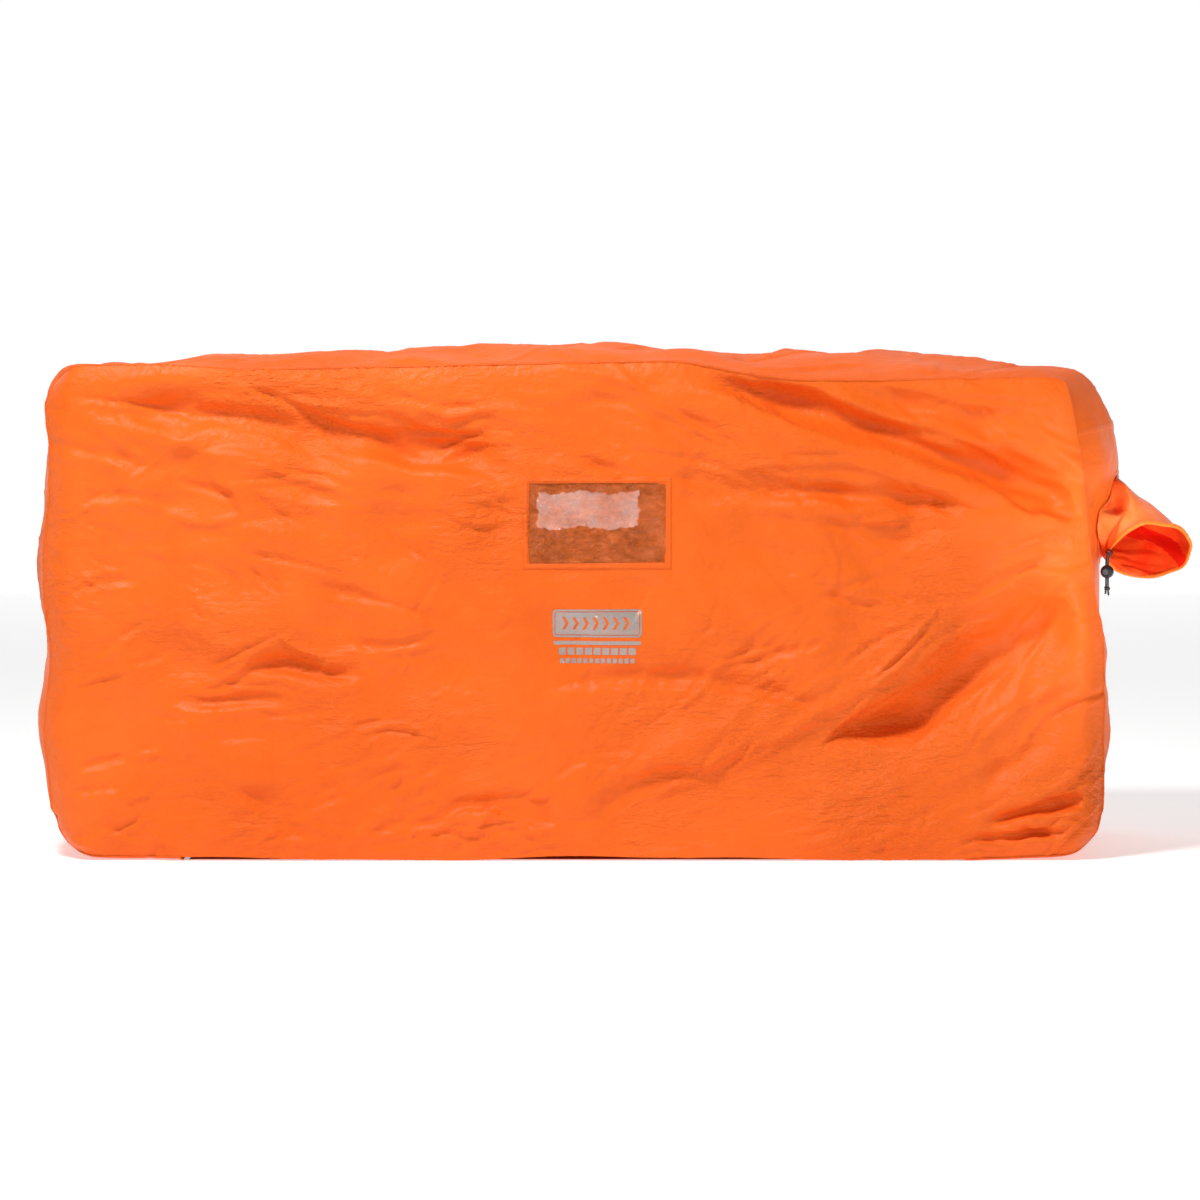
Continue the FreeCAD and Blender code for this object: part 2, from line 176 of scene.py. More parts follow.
def settle(form, pinned, slack, rounds, hold, seed, bend=1.0):
    """Lets a grid of cloth with some spare length find its wrinkles around the form it hangs in."""
    rng = np.random.default_rng(seed)
    p = form.copy()
    p += rng.standard_normal(p.shape) * 0.0012 * (~pinned)[..., None]
    free = (~pinned).astype(float)
    links = []
    for offset, firm in OFFSETS:
        a, b = pair(form, offset)
        sa, sb = pair(slack, offset)
        spread = 1 + 0.5 * (sa + sb) * (0.6 if max(abs(offset[0]), abs(offset[1])) == 2 else 1.0)
        links.append((offset, firm * (bend if firm == 0.10 else 1.0), np.linalg.norm(b - a, axis=2) * spread))
    for turn in range(rounds):
        move = np.zeros_like(p)
        count = np.zeros(p.shape[:2])
        for offset, firm, rest in links:
            a, b = pair(p, offset)
            d = b - a
            length = np.linalg.norm(d, axis=2)
            push = (firm * 0.5 * (length - rest) / np.maximum(length, 1e-9))[..., None] * d
            # pair gives views, so these add into move and count themselves
            move_a, move_b = pair(move, offset)
            move_a += push
            move_b -= push
            for ends in pair(count, offset):
                ends += firm
        p += free[..., None] * (1.5 * move / np.maximum(count, 1e-9)[..., None] * 2)
        p += (hold * free)[..., None] * (form - p)
        if turn > rounds * 0.85:
            p = soften(p, free, 0.12)
    return p


def soften(p, free, amount):
    """One pass of gentle averaging that leaves the edges of the grid where they are."""
    inner = p[1:-1, 1:-1]
    mean = (p[:-2, 1:-1] + p[2:, 1:-1] + p[1:-1, :-2] + p[1:-1, 2:]) / 4
    q = p.copy()
    q[1:-1, 1:-1] = inner + amount * free[1:-1, 1:-1, None] * (mean - inner)
    return q


def refine(field):
    """The same surface with twice the points each way, on smooth curves through the old ones."""
    def across_rows(f):
        ext = np.concatenate([2 * f[:1] - f[1:2], f, 2 * f[-1:] - f[-2:-1]])
        middle = (-ext[:-3] + 9 * ext[1:-2] + 9 * ext[2:-1] - ext[3:]) / 16
        out = np.empty((2 * len(f) - 1,) + f.shape[1:])
        out[::2] = f
        out[1::2] = middle
        return out
    return across_rows(across_rows(field).swapaxes(0, 1)).swapaxes(0, 1)


def normals(p):
    """Unit normals of a grid surface."""
    along_rows = np.gradient(p, axis=0)
    along_columns = np.gradient(p, axis=1)
    n = np.cross(along_columns, along_rows)
    return n / np.maximum(np.linalg.norm(n, axis=2, keepdims=True), 1e-12)


# ---- mesh tools ------------------------------------------------------------------------------------------
def mesh_object(name, vertices, faces, material, smooth=True):
    mesh = bpy.data.meshes.new(name)
    mesh.from_pydata([tuple(v) for v in vertices], [], faces)
    mesh.validate()
    mesh.update()
    if smooth:
        mesh.polygons.foreach_set("use_smooth", [True] * len(mesh.polygons))
    obj = bpy.data.objects.new(name, mesh)
    bpy.context.scene.collection.objects.link(obj)
    mesh.materials.append(material)
    return obj


def grid_object(name, p, material, keep=None, flip=False, closed=False):
    """A mesh from a grid of points; keep says which cells exist."""
    rows, columns = p.shape[:2]
    index = np.arange(rows * columns).reshape(rows, columns)
    if closed:
        index = np.hstack([index, index[:, :1]])
    a, b = index[:-1, :-1], index[:-1, 1:]
    c, d = index[1:, 1:], index[1:, :-1]
    cells = np.stack([a, d, c, b] if flip else [a, b, c, d], axis=-1)
    cells = cells[keep] if keep is not None else cells.reshape(-1, 4)
    used = np.zeros(rows * columns, bool)
    used[cells.ravel()] = True
    renumber = np.cumsum(used) - 1
    return mesh_object(name, p.reshape(-1, 3)[used], renumber[cells].tolist(), material)


def thicken(obj, thickness, offset=0.0):
    """Gives an open sheet its two faces and edges, and applies it."""
    solid = obj.modifiers.new("thickness", "SOLIDIFY")
    solid.thickness = thickness
    solid.offset = offset
    apply_modifiers(obj)


def apply_modifiers(obj):
    graph = bpy.context.evaluated_depsgraph_get()
    graph.update()
    mesh = bpy.data.meshes.new_from_object(obj.evaluated_get(graph))
    obj.modifiers.clear()
    old = obj.data
    obj.data = mesh
    bpy.data.meshes.remove(old)


def dress(obj, body, slot, *nodes):
    """Common ending for a piece: what it rides on, and the CAD nodes it stands for, which are hidden; slot is
    not used.
    """
    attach(obj, body)
    if nodes:
        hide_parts(*nodes)
    return obj


def stitches(name, line, out, length, gap, thick, material, lift=0.0):
    """A row of thread stitches: each a small capsule-shaped bead laid along the line."""
    seg = np.linalg.norm(np.diff(line, axis=0), axis=1)
    run = np.concatenate([[0], np.cumsum(seg)])
    starts = np.arange(gap, run[-1] - length, length + gap)
    vertices, faces = [], []
    rings, around = ((0.0, 0.45), (0.2, 1.0), (0.8, 1.0), (1.0, 0.45)), 5
    for s in starts:
        base = len(vertices)
        ends = [np.array([np.interp(s + length * k, run, line[:, c]) for c in range(3)]) for k in (0, 1)]
        up = np.array([np.interp(s + length / 2, run, out[:, c]) for c in range(3)])
        up /= np.linalg.norm(up)
        way = ends[1] - ends[0]
        way /= max(np.linalg.norm(way), 1e-9)
        side = np.cross(way, up)
        for at, size in rings:
            middle = ends[0] + (ends[1] - ends[0]) * at + up * (lift + thick * 0.35 * math.sin(math.pi * at))
            for k in range(around):
                angle = 2 * math.pi * k / around
                vertices.append(middle + (up * math.cos(angle) + side * math.sin(angle)) * thick * 0.5 * size)
        for r in range(len(rings) - 1):
            for k in range(around):
                k2 = (k + 1) % around
                a = base + r * around
                faces.append((a + k, a + k2, a + around + k2, a + around + k))
        faces.append(tuple(base + k for k in reversed(range(around))))
        faces.append(tuple(base + (len(rings) - 1) * around + k for k in range(around)))
    return mesh_object(name, vertices, faces, material)


# ---- materials -------------------------------------------------------------------------------------------
class Shader:
    """Short names for building a node material."""

    def __init__(self, name):
        self.material = bpy.data.materials.new(name)
        self.material.use_nodes = True
        self.nodes = self.material.node_tree.nodes
        self.links = self.material.node_tree.links
        self.surface = self.nodes["Principled BSDF"]
        self.place = self.nodes.new("ShaderNodeTexCoord").outputs["Object"]

    def put(self, socket, value):
        if isinstance(value, bpy.types.NodeSocket):
            self.links.new(value, socket)
        else:
            socket.default_value = value

    def set(self, **values):
        for name, value in values.items():
            self.put(self.surface.inputs[name.replace("_", " ")], value)

    def math(self, operation, a, b=0.0, clamp=False):
        node = self.nodes.new("ShaderNodeMath")
        node.operation = operation
        node.use_clamp = clamp
        self.put(node.inputs[0], a)
        self.put(node.inputs[1], b)
        return node.outputs[0]

    def scaled(self, x, y, z, source=None):
        node = self.nodes.new("ShaderNodeMapping")
        self.put(node.inputs["Vector"], source or self.place)
        node.inputs["Scale"].default_value = (x, y, z)
        return node.outputs[0]

    def noise(self, scale, detail=2.0, rough=0.5, source=None, warp=0.0):
        node = self.nodes.new("ShaderNodeTexNoise")
        self.put(node.inputs["Vector"], source or self.place)
        node.inputs["Scale"].default_value = scale
        node.inputs["Detail"].default_value = detail
        node.inputs["Roughness"].default_value = rough
        node.inputs["Distortion"].default_value = warp
        return node.outputs["Fac"]

    def wave(self, scale, direction, source=None, warp=0.0):
        node = self.nodes.new("ShaderNodeTexWave")
        node.bands_direction = direction
        self.put(node.inputs["Vector"], source or self.place)
        node.inputs["Scale"].default_value = scale
        node.inputs["Distortion"].default_value = warp
        return node.outputs["Fac"]

    def between(self, value, low, high, to_low=0.0, to_high=1.0):
        node = self.nodes.new("ShaderNodeMapRange")
        self.put(node.inputs["Value"], value)
        for name, number in (("From Min", low), ("From Max", high), ("To Min", to_low), ("To Max", to_high)):
            node.inputs[name].default_value = number
        return node.outputs[0]

    def mix(self, share, a, b):
        node = self.nodes.new("ShaderNodeMix")
        node.data_type = "RGBA"
        self.put(node.inputs["Factor"], share)
        colours = [s for s in node.inputs if s.type == "RGBA"]
        for socket, value in zip(colours, (a, b)):
            self.put(socket, (*value, 1.0) if isinstance(value, tuple) and len(value) == 3 else value)
        return [s for s in node.outputs if s.type == "RGBA"][0]

    def bump(self, height, strength, distance, onto=None):
        node = self.nodes.new("ShaderNodeBump")
        self.put(node.inputs["Height"], height)
        node.inputs["Strength"].default_value = strength
        node.inputs["Distance"].default_value = distance
        if onto is not None:
            self.put(node.inputs["Normal"], onto)
        return node.outputs[0]


def nylon(name, light, deep, rough=0.44, crumple=1.0, sheen=0.04, patches=2.2, specular=0.20):
    """Coated nylon: fine weave, faint streaks, crumples, and a soft gloss that varies from place to place."""
    m = Shader(name)
    patch = m.noise(patches, 3, 0.55, warp=0.6)
    mottled = m.noise(26, 4, 0.6)
    streaks = m.noise(9, 3, 0.6, source=m.scaled(1, 1, 26))
    share = m.math("ADD", m.math("MULTIPLY", patch, 0.7), m.math("MULTIPLY", mottled, 0.3))
    colour = m.mix(m.between(share, 0.32, 0.68), deep, light)
    colour = m.mix(m.between(streaks, 0.55, 0.75, 0, 0.10), colour, tuple(c * 0.82 for c in deep))
    warp = m.wave(900, "X")
    weft = m.wave(900, "Z")
    weave = m.math("MULTIPLY", warp, weft)
    fine = m.noise(70, 3, 0.55, warp=0.3)
    facets = m.noise(23, 3, 0.5, source=m.scaled(1, 1, 1.6), warp=0.3)
    creased = m.noise(15, 5, 0.66, source=m.scaled(0.55, 1, 1.5), warp=0.3)
    ridges = m.math("ABSOLUTE", m.math("SUBTRACT", creased, 0.5))
    worn = m.between(m.noise(3.1, 2, 0.5), 0.45, 0.7)
    normal = m.bump(weave, 0.10, 0.0004)
    normal = m.bump(fine, 0.62 * crumple, 0.0030, normal)
    normal = m.bump(facets, 0.27 * crumple, 0.012, normal)
    normal = m.bump(m.math("MULTIPLY", ridges, worn), 1.15 * crumple, 0.022, normal)
    gloss = m.between(m.noise(7, 3, 0.55), 0.3, 0.7, rough - 0.06, rough + 0.08)
    m.set(Base_Color=colour, Roughness=gloss, Normal=normal, IOR=1.46, Specular_IOR_Level=specular,
          Sheen_Weight=sheen, Sheen_Roughness=0.4, Sheen_Tint=(1.0, 0.62, 0.42, 1))
    return m.material


def film_material():
    """Vinyl window film: glossy, creased, cloudier in some patches than in others, and painted orange and
    half opaque, standing in for the lit orange cloth seen through it.
    """
    m = Shader("window_film")
    crumpled = m.noise(34, 4, 0.6, source=m.scaled(1, 1, 1.7), warp=1.5)
    creases = m.math("ABSOLUTE", m.math("SUBTRACT", crumpled, 0.5))
    fine = m.noise(120, 3, 0.6, warp=0.8)
    normal = m.bump(creases, 1.0, 0.022)
    normal = m.bump(fine, 0.22, 0.0016, normal)
    haze = m.between(m.noise(20, 4, 0.65), 0.42, 0.66, 0.0, 0.35)
    # Painted colour: the orange stands in for the lit cloth inside, seen through the film.
    colour = m.mix(haze, (1.0, 0.22, 0.04), (0.94, 0.17, 0.03))
    m.set(Base_Color=colour, Roughness=0.09, Normal=normal)
    m.surface.inputs["IOR"].default_value = 1.5
    m.surface.inputs["Specular IOR Level"].default_value = 0.6
    m.put(m.surface.inputs["Alpha"], m.between(m.noise(20, 4, 0.65), 0.4, 0.68, 0.46, 0.70))
    return m.material


def ink_material():
    """Silver ink: fine flake, with cloth colour showing faintly in rubbed patches."""
    m = Shader("silver_ink")
    flake = m.noise(900, 2, 0.5)
    rubbed = m.between(m.noise(60, 4, 0.6), 0.35, 0.72)
    colour = m.mix(m.between(flake, 0.35, 0.65), (0.30, 0.27, 0.25), (0.42, 0.39, 0.37))
    colour = m.mix(m.math("MULTIPLY", rubbed, 0.18), colour, (0.80, 0.26, 0.08))
    m.set(Base_Color=colour, Roughness=0.42, Normal=m.bump(flake, 0.15, 0.0003))
    m.surface.inputs["Metallic"].default_value = 0.25
    return m.material


def cord_material():
    """Braided black cord: crossing strands, dull."""
    m = Shader("cord")
    one = m.wave(260, "DIAGONAL")
    other = m.wave(260, "DIAGONAL", source=m.scaled(-1, 1, 1))
    braid = m.math("MAXIMUM", one, other)
    colour = m.mix(braid, (0.004, 0.004, 0.005), (0.022, 0.021, 0.022))
    m.set(Base_Color=colour, Roughness=0.62, Normal=m.bump(braid, 0.7, 0.0006))
    m.surface.inputs["Sheen Weight"].default_value = 0.3
    return m.material


def plastic_material(name, dark, light, rough, grain=0.3):
    """Moulded plastic: faint spark texture and scuffs."""
    m = Shader(name)
    speckle = m.noise(700, 2, 0.5)
    scuffs = m.between(m.noise(90, 4, 0.7, warp=2.0), 0.5, 0.75)
    m.set(
        Base_Color=m.mix(scuffs, dark, light),
        Roughness=m.between(scuffs, 0, 1, rough, rough + 0.18),
        Normal=m.bump(speckle, grain, 0.0003),
    )
    return m.material


def steel_material():
    m = Shader("spring_steel")
    drawn = m.noise(400, 2, 0.5, source=m.scaled(1, 1, 8))
    m.set(Base_Color=m.mix(drawn, (0.42, 0.42, 0.43), (0.62, 0.62, 0.63)), Roughness=0.32)
    m.surface.inputs["Metallic"].default_value = 1.0
    return m.material


def thread_material():
    m = Shader("thread")
    twist = m.wave(1500, "DIAGONAL")
    m.set(Base_Color=m.mix(twist, (0.62, 0.07, 0.004), (0.86, 0.14, 0.012)), Roughness=0.5,
          Normal=m.bump(twist, 0.4, 0.0002))
    return m.material


CLOTH = nylon("shell_cloth", (0.90, 0.152, 0.015), (0.80, 0.118, 0.007))
# The roof: a copy of the shell cloth with slightly deeper colours and less gloss, painted shade that tones
# down the pale glare the roof catches at a grazing angle.
ROOF_SHADED_CLOTH = nylon("roof_cloth", (0.90, 0.144, 0.013), (0.80, 0.111, 0.006),
                   rough=0.52, sheen=0.01, specular=0.10)
HEM_CLOTH = nylon("hem_cloth", (0.99, 0.235, 0.035), (0.95, 0.165, 0.012), rough=0.36, crumple=0.8)
SEAT_CLOTH = nylon("seat_cloth", (0.90, 0.120, 0.008), (0.82, 0.090, 0.004))
TAPE_CLOTH = nylon("seam_tape", (0.80, 0.16, 0.04), (0.70, 0.11, 0.02), rough=0.3, crumple=0.4)
VENT_CLOTH = nylon("vent_cloth", (0.97, 0.235, 0.055), (0.93, 0.100, 0.006),
                   rough=0.38, crumple=1.0, patches=14)
FILM = film_material()
INK = ink_material()
CORD = cord_material()
LOCK_PLASTIC = plastic_material("lock_plastic", (0.012, 0.012, 0.014), (0.035, 0.035, 0.04), 0.28)
BUTTON_PLASTIC = plastic_material("button_plastic", (0.075, 0.078, 0.085), (0.13, 0.135, 0.145), 0.34)
EYELET_PLASTIC = plastic_material("eyelet_plastic", (0.010, 0.010, 0.011), (0.03, 0.03, 0.03), 0.4)
STEEL = steel_material()
THREAD = thread_material()
# The lining's own orange-red, painted brighter and redder: painted light standing in for light shining
# through the thin cloth.
LINING = nylon("sleeve_lining", (1.0, 0.150, 0.020), (0.96, 0.016, 0.002), rough=0.5, crumple=0.8, patches=13)
# A darker red copy of the lining: painted shade of the fold in the sleeve's far side.
LINING_PAINTED_SHADE = nylon("lining_painted_shade", (0.84, 0.012, 0.002), (0.74, 0.007, 0.001),
                    rough=0.5, crumple=0.6, patches=9)


# ---- outline of the shell --------------------------------------------------------------------------------
# Seen from the front, as the cloth hangs: how far the wall reaches to each side at a height, and how high its
# top seam is along the length.
LEFT_REACH = curve([(0.0, 0.925), (0.07, 0.940), (0.155, 0.943), (0.21, 0.953), (0.26, 0.951), (0.37, 0.937),
                    (0.45, 0.950), (0.55, 0.953), (0.64, 0.941), (0.745, 0.937),
                    (0.78, 0.946), (0.88, 0.945)])
RIGHT_REACH = curve([(0.0, 0.940), (0.10, 0.948), (0.30, 0.949), (0.42, 0.947), (0.48, 0.929),
                     (0.54, 0.923), (0.60, 0.914),
                     (0.67, 0.910), (0.78, 0.894), (0.90, 0.872)], 0.025)
TOP_SEAM = curve([(-0.95, 0.884), (-0.71, 0.884), (-0.58, 0.876), (-0.24, 0.883), (0.08, 0.890),
                  (0.19, 0.892),
                  (0.31, 0.868), (0.40, 0.858), (0.56, 0.858), (0.70, 0.861), (0.95, 0.862)])
BELLY_LEFT = curve([(0.0, 0.010), (0.3, 0.030), (0.9, 0.022)], 0.1)
BELLY_RIGHT = curve([(0.0, 0.014), (0.40, 0.026), (0.55, 0.042), (0.66, 0.080), (0.74, 0.098), (0.80, 0.084),
                     (0.88, 0.050)], 0.03)
ROOF_RISE = curve([(-0.95, -0.004), (-0.72, 0.006), (-0.60, 0.022), (-0.40, 0.024), (0.0, 0.034),
                   (0.20, 0.026),
                   (0.40, 0.044), (0.64, 0.044), (0.72, 0.034), (0.95, 0.012)], 0.03)


def round_corner(x, z, corner):
    """Moves points of a rectangle's corner square into a quarter disc; corner = (x, z, sign x, sign z)."""
    cx, cz, sx, sz = corner
    a = (x - cx) * sx / CORNER
    b = (z - cz) * sz / CORNER
    inside = (a > 0) & (b > 0)
    a2, b2 = np.clip(a, 0, 1), np.clip(b, 0, 1)
    nx = cx + sx * CORNER * a2 * np.sqrt(1 - b2**2 / 2)
    nz = cz + sz * CORNER * b2 * np.sqrt(1 - a2**2 / 2)
    return np.where(inside, nx, x), np.where(inside, nz, z)


def foot_lift(x):
    """The foot lifts off the ground here and there, by up to 7 mm."""
    return 0.0035 + 0.0030 * np.sin(7.3 * x + 0.8) + 0.0022 * np.sin(17.0 * x + 2.0) * np.cos(3.1 * x)


def wall_grid(columns, rows):
    """u and v over a wall: each from 0 to 1, along it and up it."""
    u = np.linspace(0, 1, columns)[None, :] * np.ones((rows, 1))
    v = np.linspace(0, 1, rows)[:, None] * np.ones((1, columns))
    return u, v


def wall_spacing(x):
    """Distance between the grid's points, along the wall and up it."""
    return WALL_LENGTH / x.shape[1], WALL_HEIGHT / x.shape[0]


def inside_form(u, v):
    """1 over the wall's form, falling to 0 at its edges."""
    return step_up(np.minimum(u, 1 - u), 0.0, 0.035) * step_up(v, 0.0, 0.05) * step_up(1 - v, 0.0, 0.05)


def inside_cloth(x, z):
    """1 over the settled wall, falling to 0 at its edges."""
    return step_up(0.93 - np.abs(x), 0, 0.06) * step_up(z, 0.0, 0.04) * step_up(0.87 - z, 0, 0.04)


def edges_pinned(shape):
    """Marks the grid's outer points, which the solver leaves where they are."""
    pinned = np.zeros(shape, bool)
    pinned[0], pinned[-1], pinned[:, 0], pinned[:, -1] = True, True, True, True
    return pinned


def wall_outline_map(u, v):
    """(u, v) from 0 to 1 across the wall and up it, to (x, z) inside its rounded outline."""
    rough_z = v * WALL_HEIGHT
    left, right = -LEFT_REACH(rough_z), RIGHT_REACH(rough_z)
    x = left + u * (right - left)
    z = v * TOP_SEAM(x) + foot_lift(x) * (1 - v) ** 6
    low_left, low_right = -0.930, 0.942
    for corner in (
        (low_left + CORNER, CORNER, -1, -1), (low_right - CORNER, CORNER, 1, -1),
        (-0.945 + CORNER, 0.884 - CORNER, -1, 1), (0.876 - CORNER * 0.6, 0.862 - CORNER * 0.6, 1, 1),
    ):
        x, z = round_corner(x, z, corner)
    return x, z


# ---- front wall ------------------------------------------------------------------------------------------
def front_relief(x, z):
    """The wall's main folds, positive towards the front."""
    d = np.zeros_like(x)
    for points, *shape in (
        # upper left: two shelves that start together near the corner and open towards the window
        ([(-0.87, 0.806), (-0.70, 0.790), (-0.54, 0.762), (-0.37, 0.735), (-0.22, 0.712), (-0.10, 0.690)],
         0.026, 0.027, 0.9, (0.25, 0.22), 1.7),
        ([(-0.87, 0.800), (-0.72, 0.766), (-0.58, 0.730), (-0.44, 0.700), (-0.31, 0.684)],
         0.011, 0.016, 0.8, (0.2, 0.4), 1.8),
        ([(-0.80, 0.842), (-0.62, 0.838), (-0.45, 0.815), (-0.25, 0.79)], -0.006, 0.02, 0.0, (0.4, 0.5)),
        # upper right: long troughs from the roof seam to where the end is pulled in
        ([(0.15, 0.885), (0.30, 0.838), (0.46, 0.780), (0.62, 0.725), (0.76, 0.672), (0.90, 0.622)],
         0.030, 0.036, 0.75, (0.2, 0.08), 1.0),
        ([(0.42, 0.862), (0.56, 0.812), (0.68, 0.772), (0.80, 0.745)], 0.026, 0.032, 0.6, (0.2, 0.3)),
        ([(0.52, 0.80), (0.68, 0.745), (0.82, 0.695), (0.91, 0.655)], 0.008, 0.014, 0.4, (0.3, 0.1)),
        ([(0.16, 0.650), (0.35, 0.650), (0.55, 0.640), (0.75, 0.622), (0.91, 0.612)],
         0.010, 0.024, 0.8, (0.3, 0.05), 0.6),
        # lower right: one big trough that sweeps from the foot up to the end, with a crisp ridge under it
        ([(0.03, 0.020), (0.22, 0.082), (0.42, 0.138), (0.60, 0.250), (0.76, 0.375), (0.91, 0.475)],
         -0.038, 0.050, 0.0, (0.1, 0.12), 1.1),
        ([(0.20, 0.040), (0.40, 0.096), (0.55, 0.172), (0.72, 0.300), (0.88, 0.435)],
         0.010, 0.014, 0.0, (0.2, 0.2)),
        ([(0.62, 0.07), (0.76, 0.15), (0.86, 0.27), (0.93, 0.40)], -0.009, 0.03, 0.0, (0.3, 0.3)),
        # below the middle: a shaded pocket and the bulge above it
        ([(-0.26, 0.092), (-0.12, 0.092), (-0.03, 0.060)], 0.014, 0.018, 0.9, (0.3, 0.3)),
        ([(0.02, 0.060), (0.10, 0.110), (0.19, 0.150), (0.25, 0.140)], 0.013, 0.018, 0.9, (0.3, 0.3)),
        ([(0.05, 0.150), (0.16, 0.180), (0.26, 0.155)], 0.008, 0.03, 0.0, (0.3, 0.3)),
        # lower left: puckers that fan from a point, and the shelf over them
        ([(-0.60, 0.335), (-0.52, 0.345), (-0.44, 0.325), (-0.36, 0.335)], 0.010, 0.016, 0.9, (0.3, 0.3)),
        ([(-0.74, 0.29), (-0.66, 0.275), (-0.56, 0.285), (-0.49, 0.27)], 0.007, 0.012, 0.8, (0.3, 0.3)),
        ([(-0.63, 0.14), (-0.55, 0.09), (-0.50, 0.03)], 0.009, 0.018, 0.8, (0.3, 0.2)),
        ([(-0.60, 0.02), (-0.50, 0.075), (-0.42, 0.11)], 0.006, 0.009, 0.3, (0.2, 0.3)),
        ([(-0.42, 0.02), (-0.36, 0.08), (-0.31, 0.15), (-0.25, 0.21)], 0.007, 0.014, 0.5, (0.1, 0.4)),
        ([(-0.85, 0.46), (-0.74, 0.38), (-0.63, 0.33)], -0.005, 0.03, 0.0, (0.4, 0.4)),
        # soft shelves in the middle, beside the badge and under it
        ([(-0.52, 0.505), (-0.40, 0.470), (-0.28, 0.440), (-0.24, 0.41)], 0.006, 0.012, 0.8, (0.3, 0.3)),
        ([(-0.20, 0.395), (-0.12, 0.41), (-0.05, 0.425)], 0.004, 0.010, 0.8, (0.4, 0.4)),
        ([(-0.09, 0.300), (0.05, 0.318), (0.20, 0.320), (0.36, 0.290), (0.46, 0.262)],
         0.007, 0.016, 0.8, (0.3, 0.2)),
        ([(0.30, 0.56), (0.40, 0.52), (0.50, 0.44), (0.58, 0.38)], -0.004, 0.022, 0.0, (0.3, 0.3)),
        ([(0.48, 0.56), (0.54, 0.49), (0.63, 0.43)], 0.004, 0.012, 0.5, (0.3, 0.3)),
        ([(0.20, 0.55), (0.26, 0.45), (0.36, 0.40)], 0.003, 0.02, 0.5, (0.3, 0.3)),
        # tucks at the right foot
        ([(0.72, 0.055), (0.82, 0.085), (0.92, 0.105)], 0.012, 0.014, 0.9, (0.3, 0.1)),
        ([(0.66, 0.010), (0.76, 0.04), (0.88, 0.048)], 0.008, 0.010, 0.9, (0.2, 0.2)),
        ([(0.42, 0.085), (0.52, 0.06), (0.62, 0.05)], 0.006, 0.014, 0.8, (0.3, 0.3)),
        ([(0.78, 0.17), (0.84, 0.20), (0.90, 0.17)], 0.004, 0.010, 0.6, (0.3, 0.3)),
    ):
        d += fold(x, z, points, *shape)
    return d


def edge_roll(u, v, width, height):
    """Nearness to the left edge, the right edge and the top, each from 0 inside to 1 at the edge."""
    side_left = 1 - np.clip(u * width / 0.060, 0, 1)
    side_right = 1 - np.clip((1 - u) * width / 0.055, 0, 1)
    top = 1 - np.clip((1 - v) * height / 0.035, 0, 1)
    return side_left, side_right, top


def edge_waves(x, z):
    """Slow waves of the left edge, where the cloth hangs slack."""
    return 0.006 * np.sin(z * 23 + 0.7) * step_up(-x, 0.80, 0.93)


def eased(x, z):
    """The long troughs at the upper left are shallower than those elsewhere."""
    return 1 - 0.50 * np.exp(-(((x + 0.48) / 0.34) ** 2) - ((z - 0.745) / 0.10) ** 2)


def front_form(columns, rows):
    u, v = wall_grid(columns, rows)
    x, z = wall_outline_map(u, v)
    side_left, side_right, top = edge_roll(u, v, WALL_LENGTH, WALL_HEIGHT)
    soft_right = 1 - step_up(z, 0.44, 0.62) * 0.75
    back = 0.048 * side_left**2 + 0.050 * side_right**2 * soft_right + 0.012 * top**2
    foot = 0.016 * (1 - np.clip(v * WALL_HEIGHT / 0.05, 0, 1)) ** 2
    inner = inside_form(u, v)
    belly = 0.006 * np.sin(np.pi * u) * np.sin(np.pi * v)
    folds = 1.4 * inner * eased(x, z) * front_relief(x, z)
    y = -HALF_DEPTH - 0.012 + back + foot - belly + edge_waves(x, z) - folds
    return np.stack([x, y, z], axis=-1)


def spare_cloth(x, seed, amount):
    """Share of spare cloth at each place: patches of crumple on nearly flat cloth."""
    field = noise_field(x.shape, (0.01, 0.01), 0.10, 0.5, seed)
    return amount * (0.35 + 0.65 * step_up(field, -0.6, 1.4))


def make_front():
    columns, rows = ((207, 99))
    form = front_form(columns, rows)
    hole = (
        WINDOW_LOW.x + FILM_OVERLAP - MID, WINDOW_HIGH.x - FILM_OVERLAP - MID,
        WINDOW_LOW.z + FILM_OVERLAP, WINDOW_HIGH.z - FILM_OVERLAP,
    )
    form = fit_to_hole(form, hole)
    x, z = form[..., 0], form[..., 2]
    pinned = edges_pinned(x.shape)
    slack = spare_cloth(x, 11, 0.016)
    near_window = step_up(np.hypot(np.maximum(np.abs(x - (hole[0] + hole[1]) / 2) - 0.13, 0),
                                   np.maximum(np.abs(z - (hole[2] + hole[3]) / 2) - 0.08, 0)), 0.0, 0.10)
    slack *= 0.25 + 0.75 * near_window
    hold = 0.004 + 0.05 * (1 - near_window)
    rounds = 260
    p = settle(form, pinned, slack, rounds, hold, 3)
    fine = refine(p)
    return keep_clear(add_creases(fine), -1), hole


def fit_to_hole(form, hole):
    """Moves grid lines sideways and up or down a little so that some run exactly along the hole's edges."""
    z = form[..., 2]
    x0, x1, z0, z1 = hole
    middle_row = z[:, z.shape[1] // 2]
    out = form.copy()
    for axis, (low, high) in ((0, (x0, x1)), (2, (z0, z1))):
        values = out[..., axis]
        line = values[np.abs(middle_row - (z0 + z1) / 2).argmin()] if axis == 0 else middle_row
        spacing = abs(line[len(line) // 2 + 1] - line[len(line) // 2])
        for edge in (low, high):
            nearest = np.abs(line - edge).argmin()
            shift = edge - line[nearest]
            reach = 3.0 * spacing
            values += shift * np.exp(-(((values - edge) / reach) ** 2))
    return out


WINDOW_MIDDLE = (0.040, 0.603)
BACK_WINDOW_MIDDLE = (0.022, 0.606)


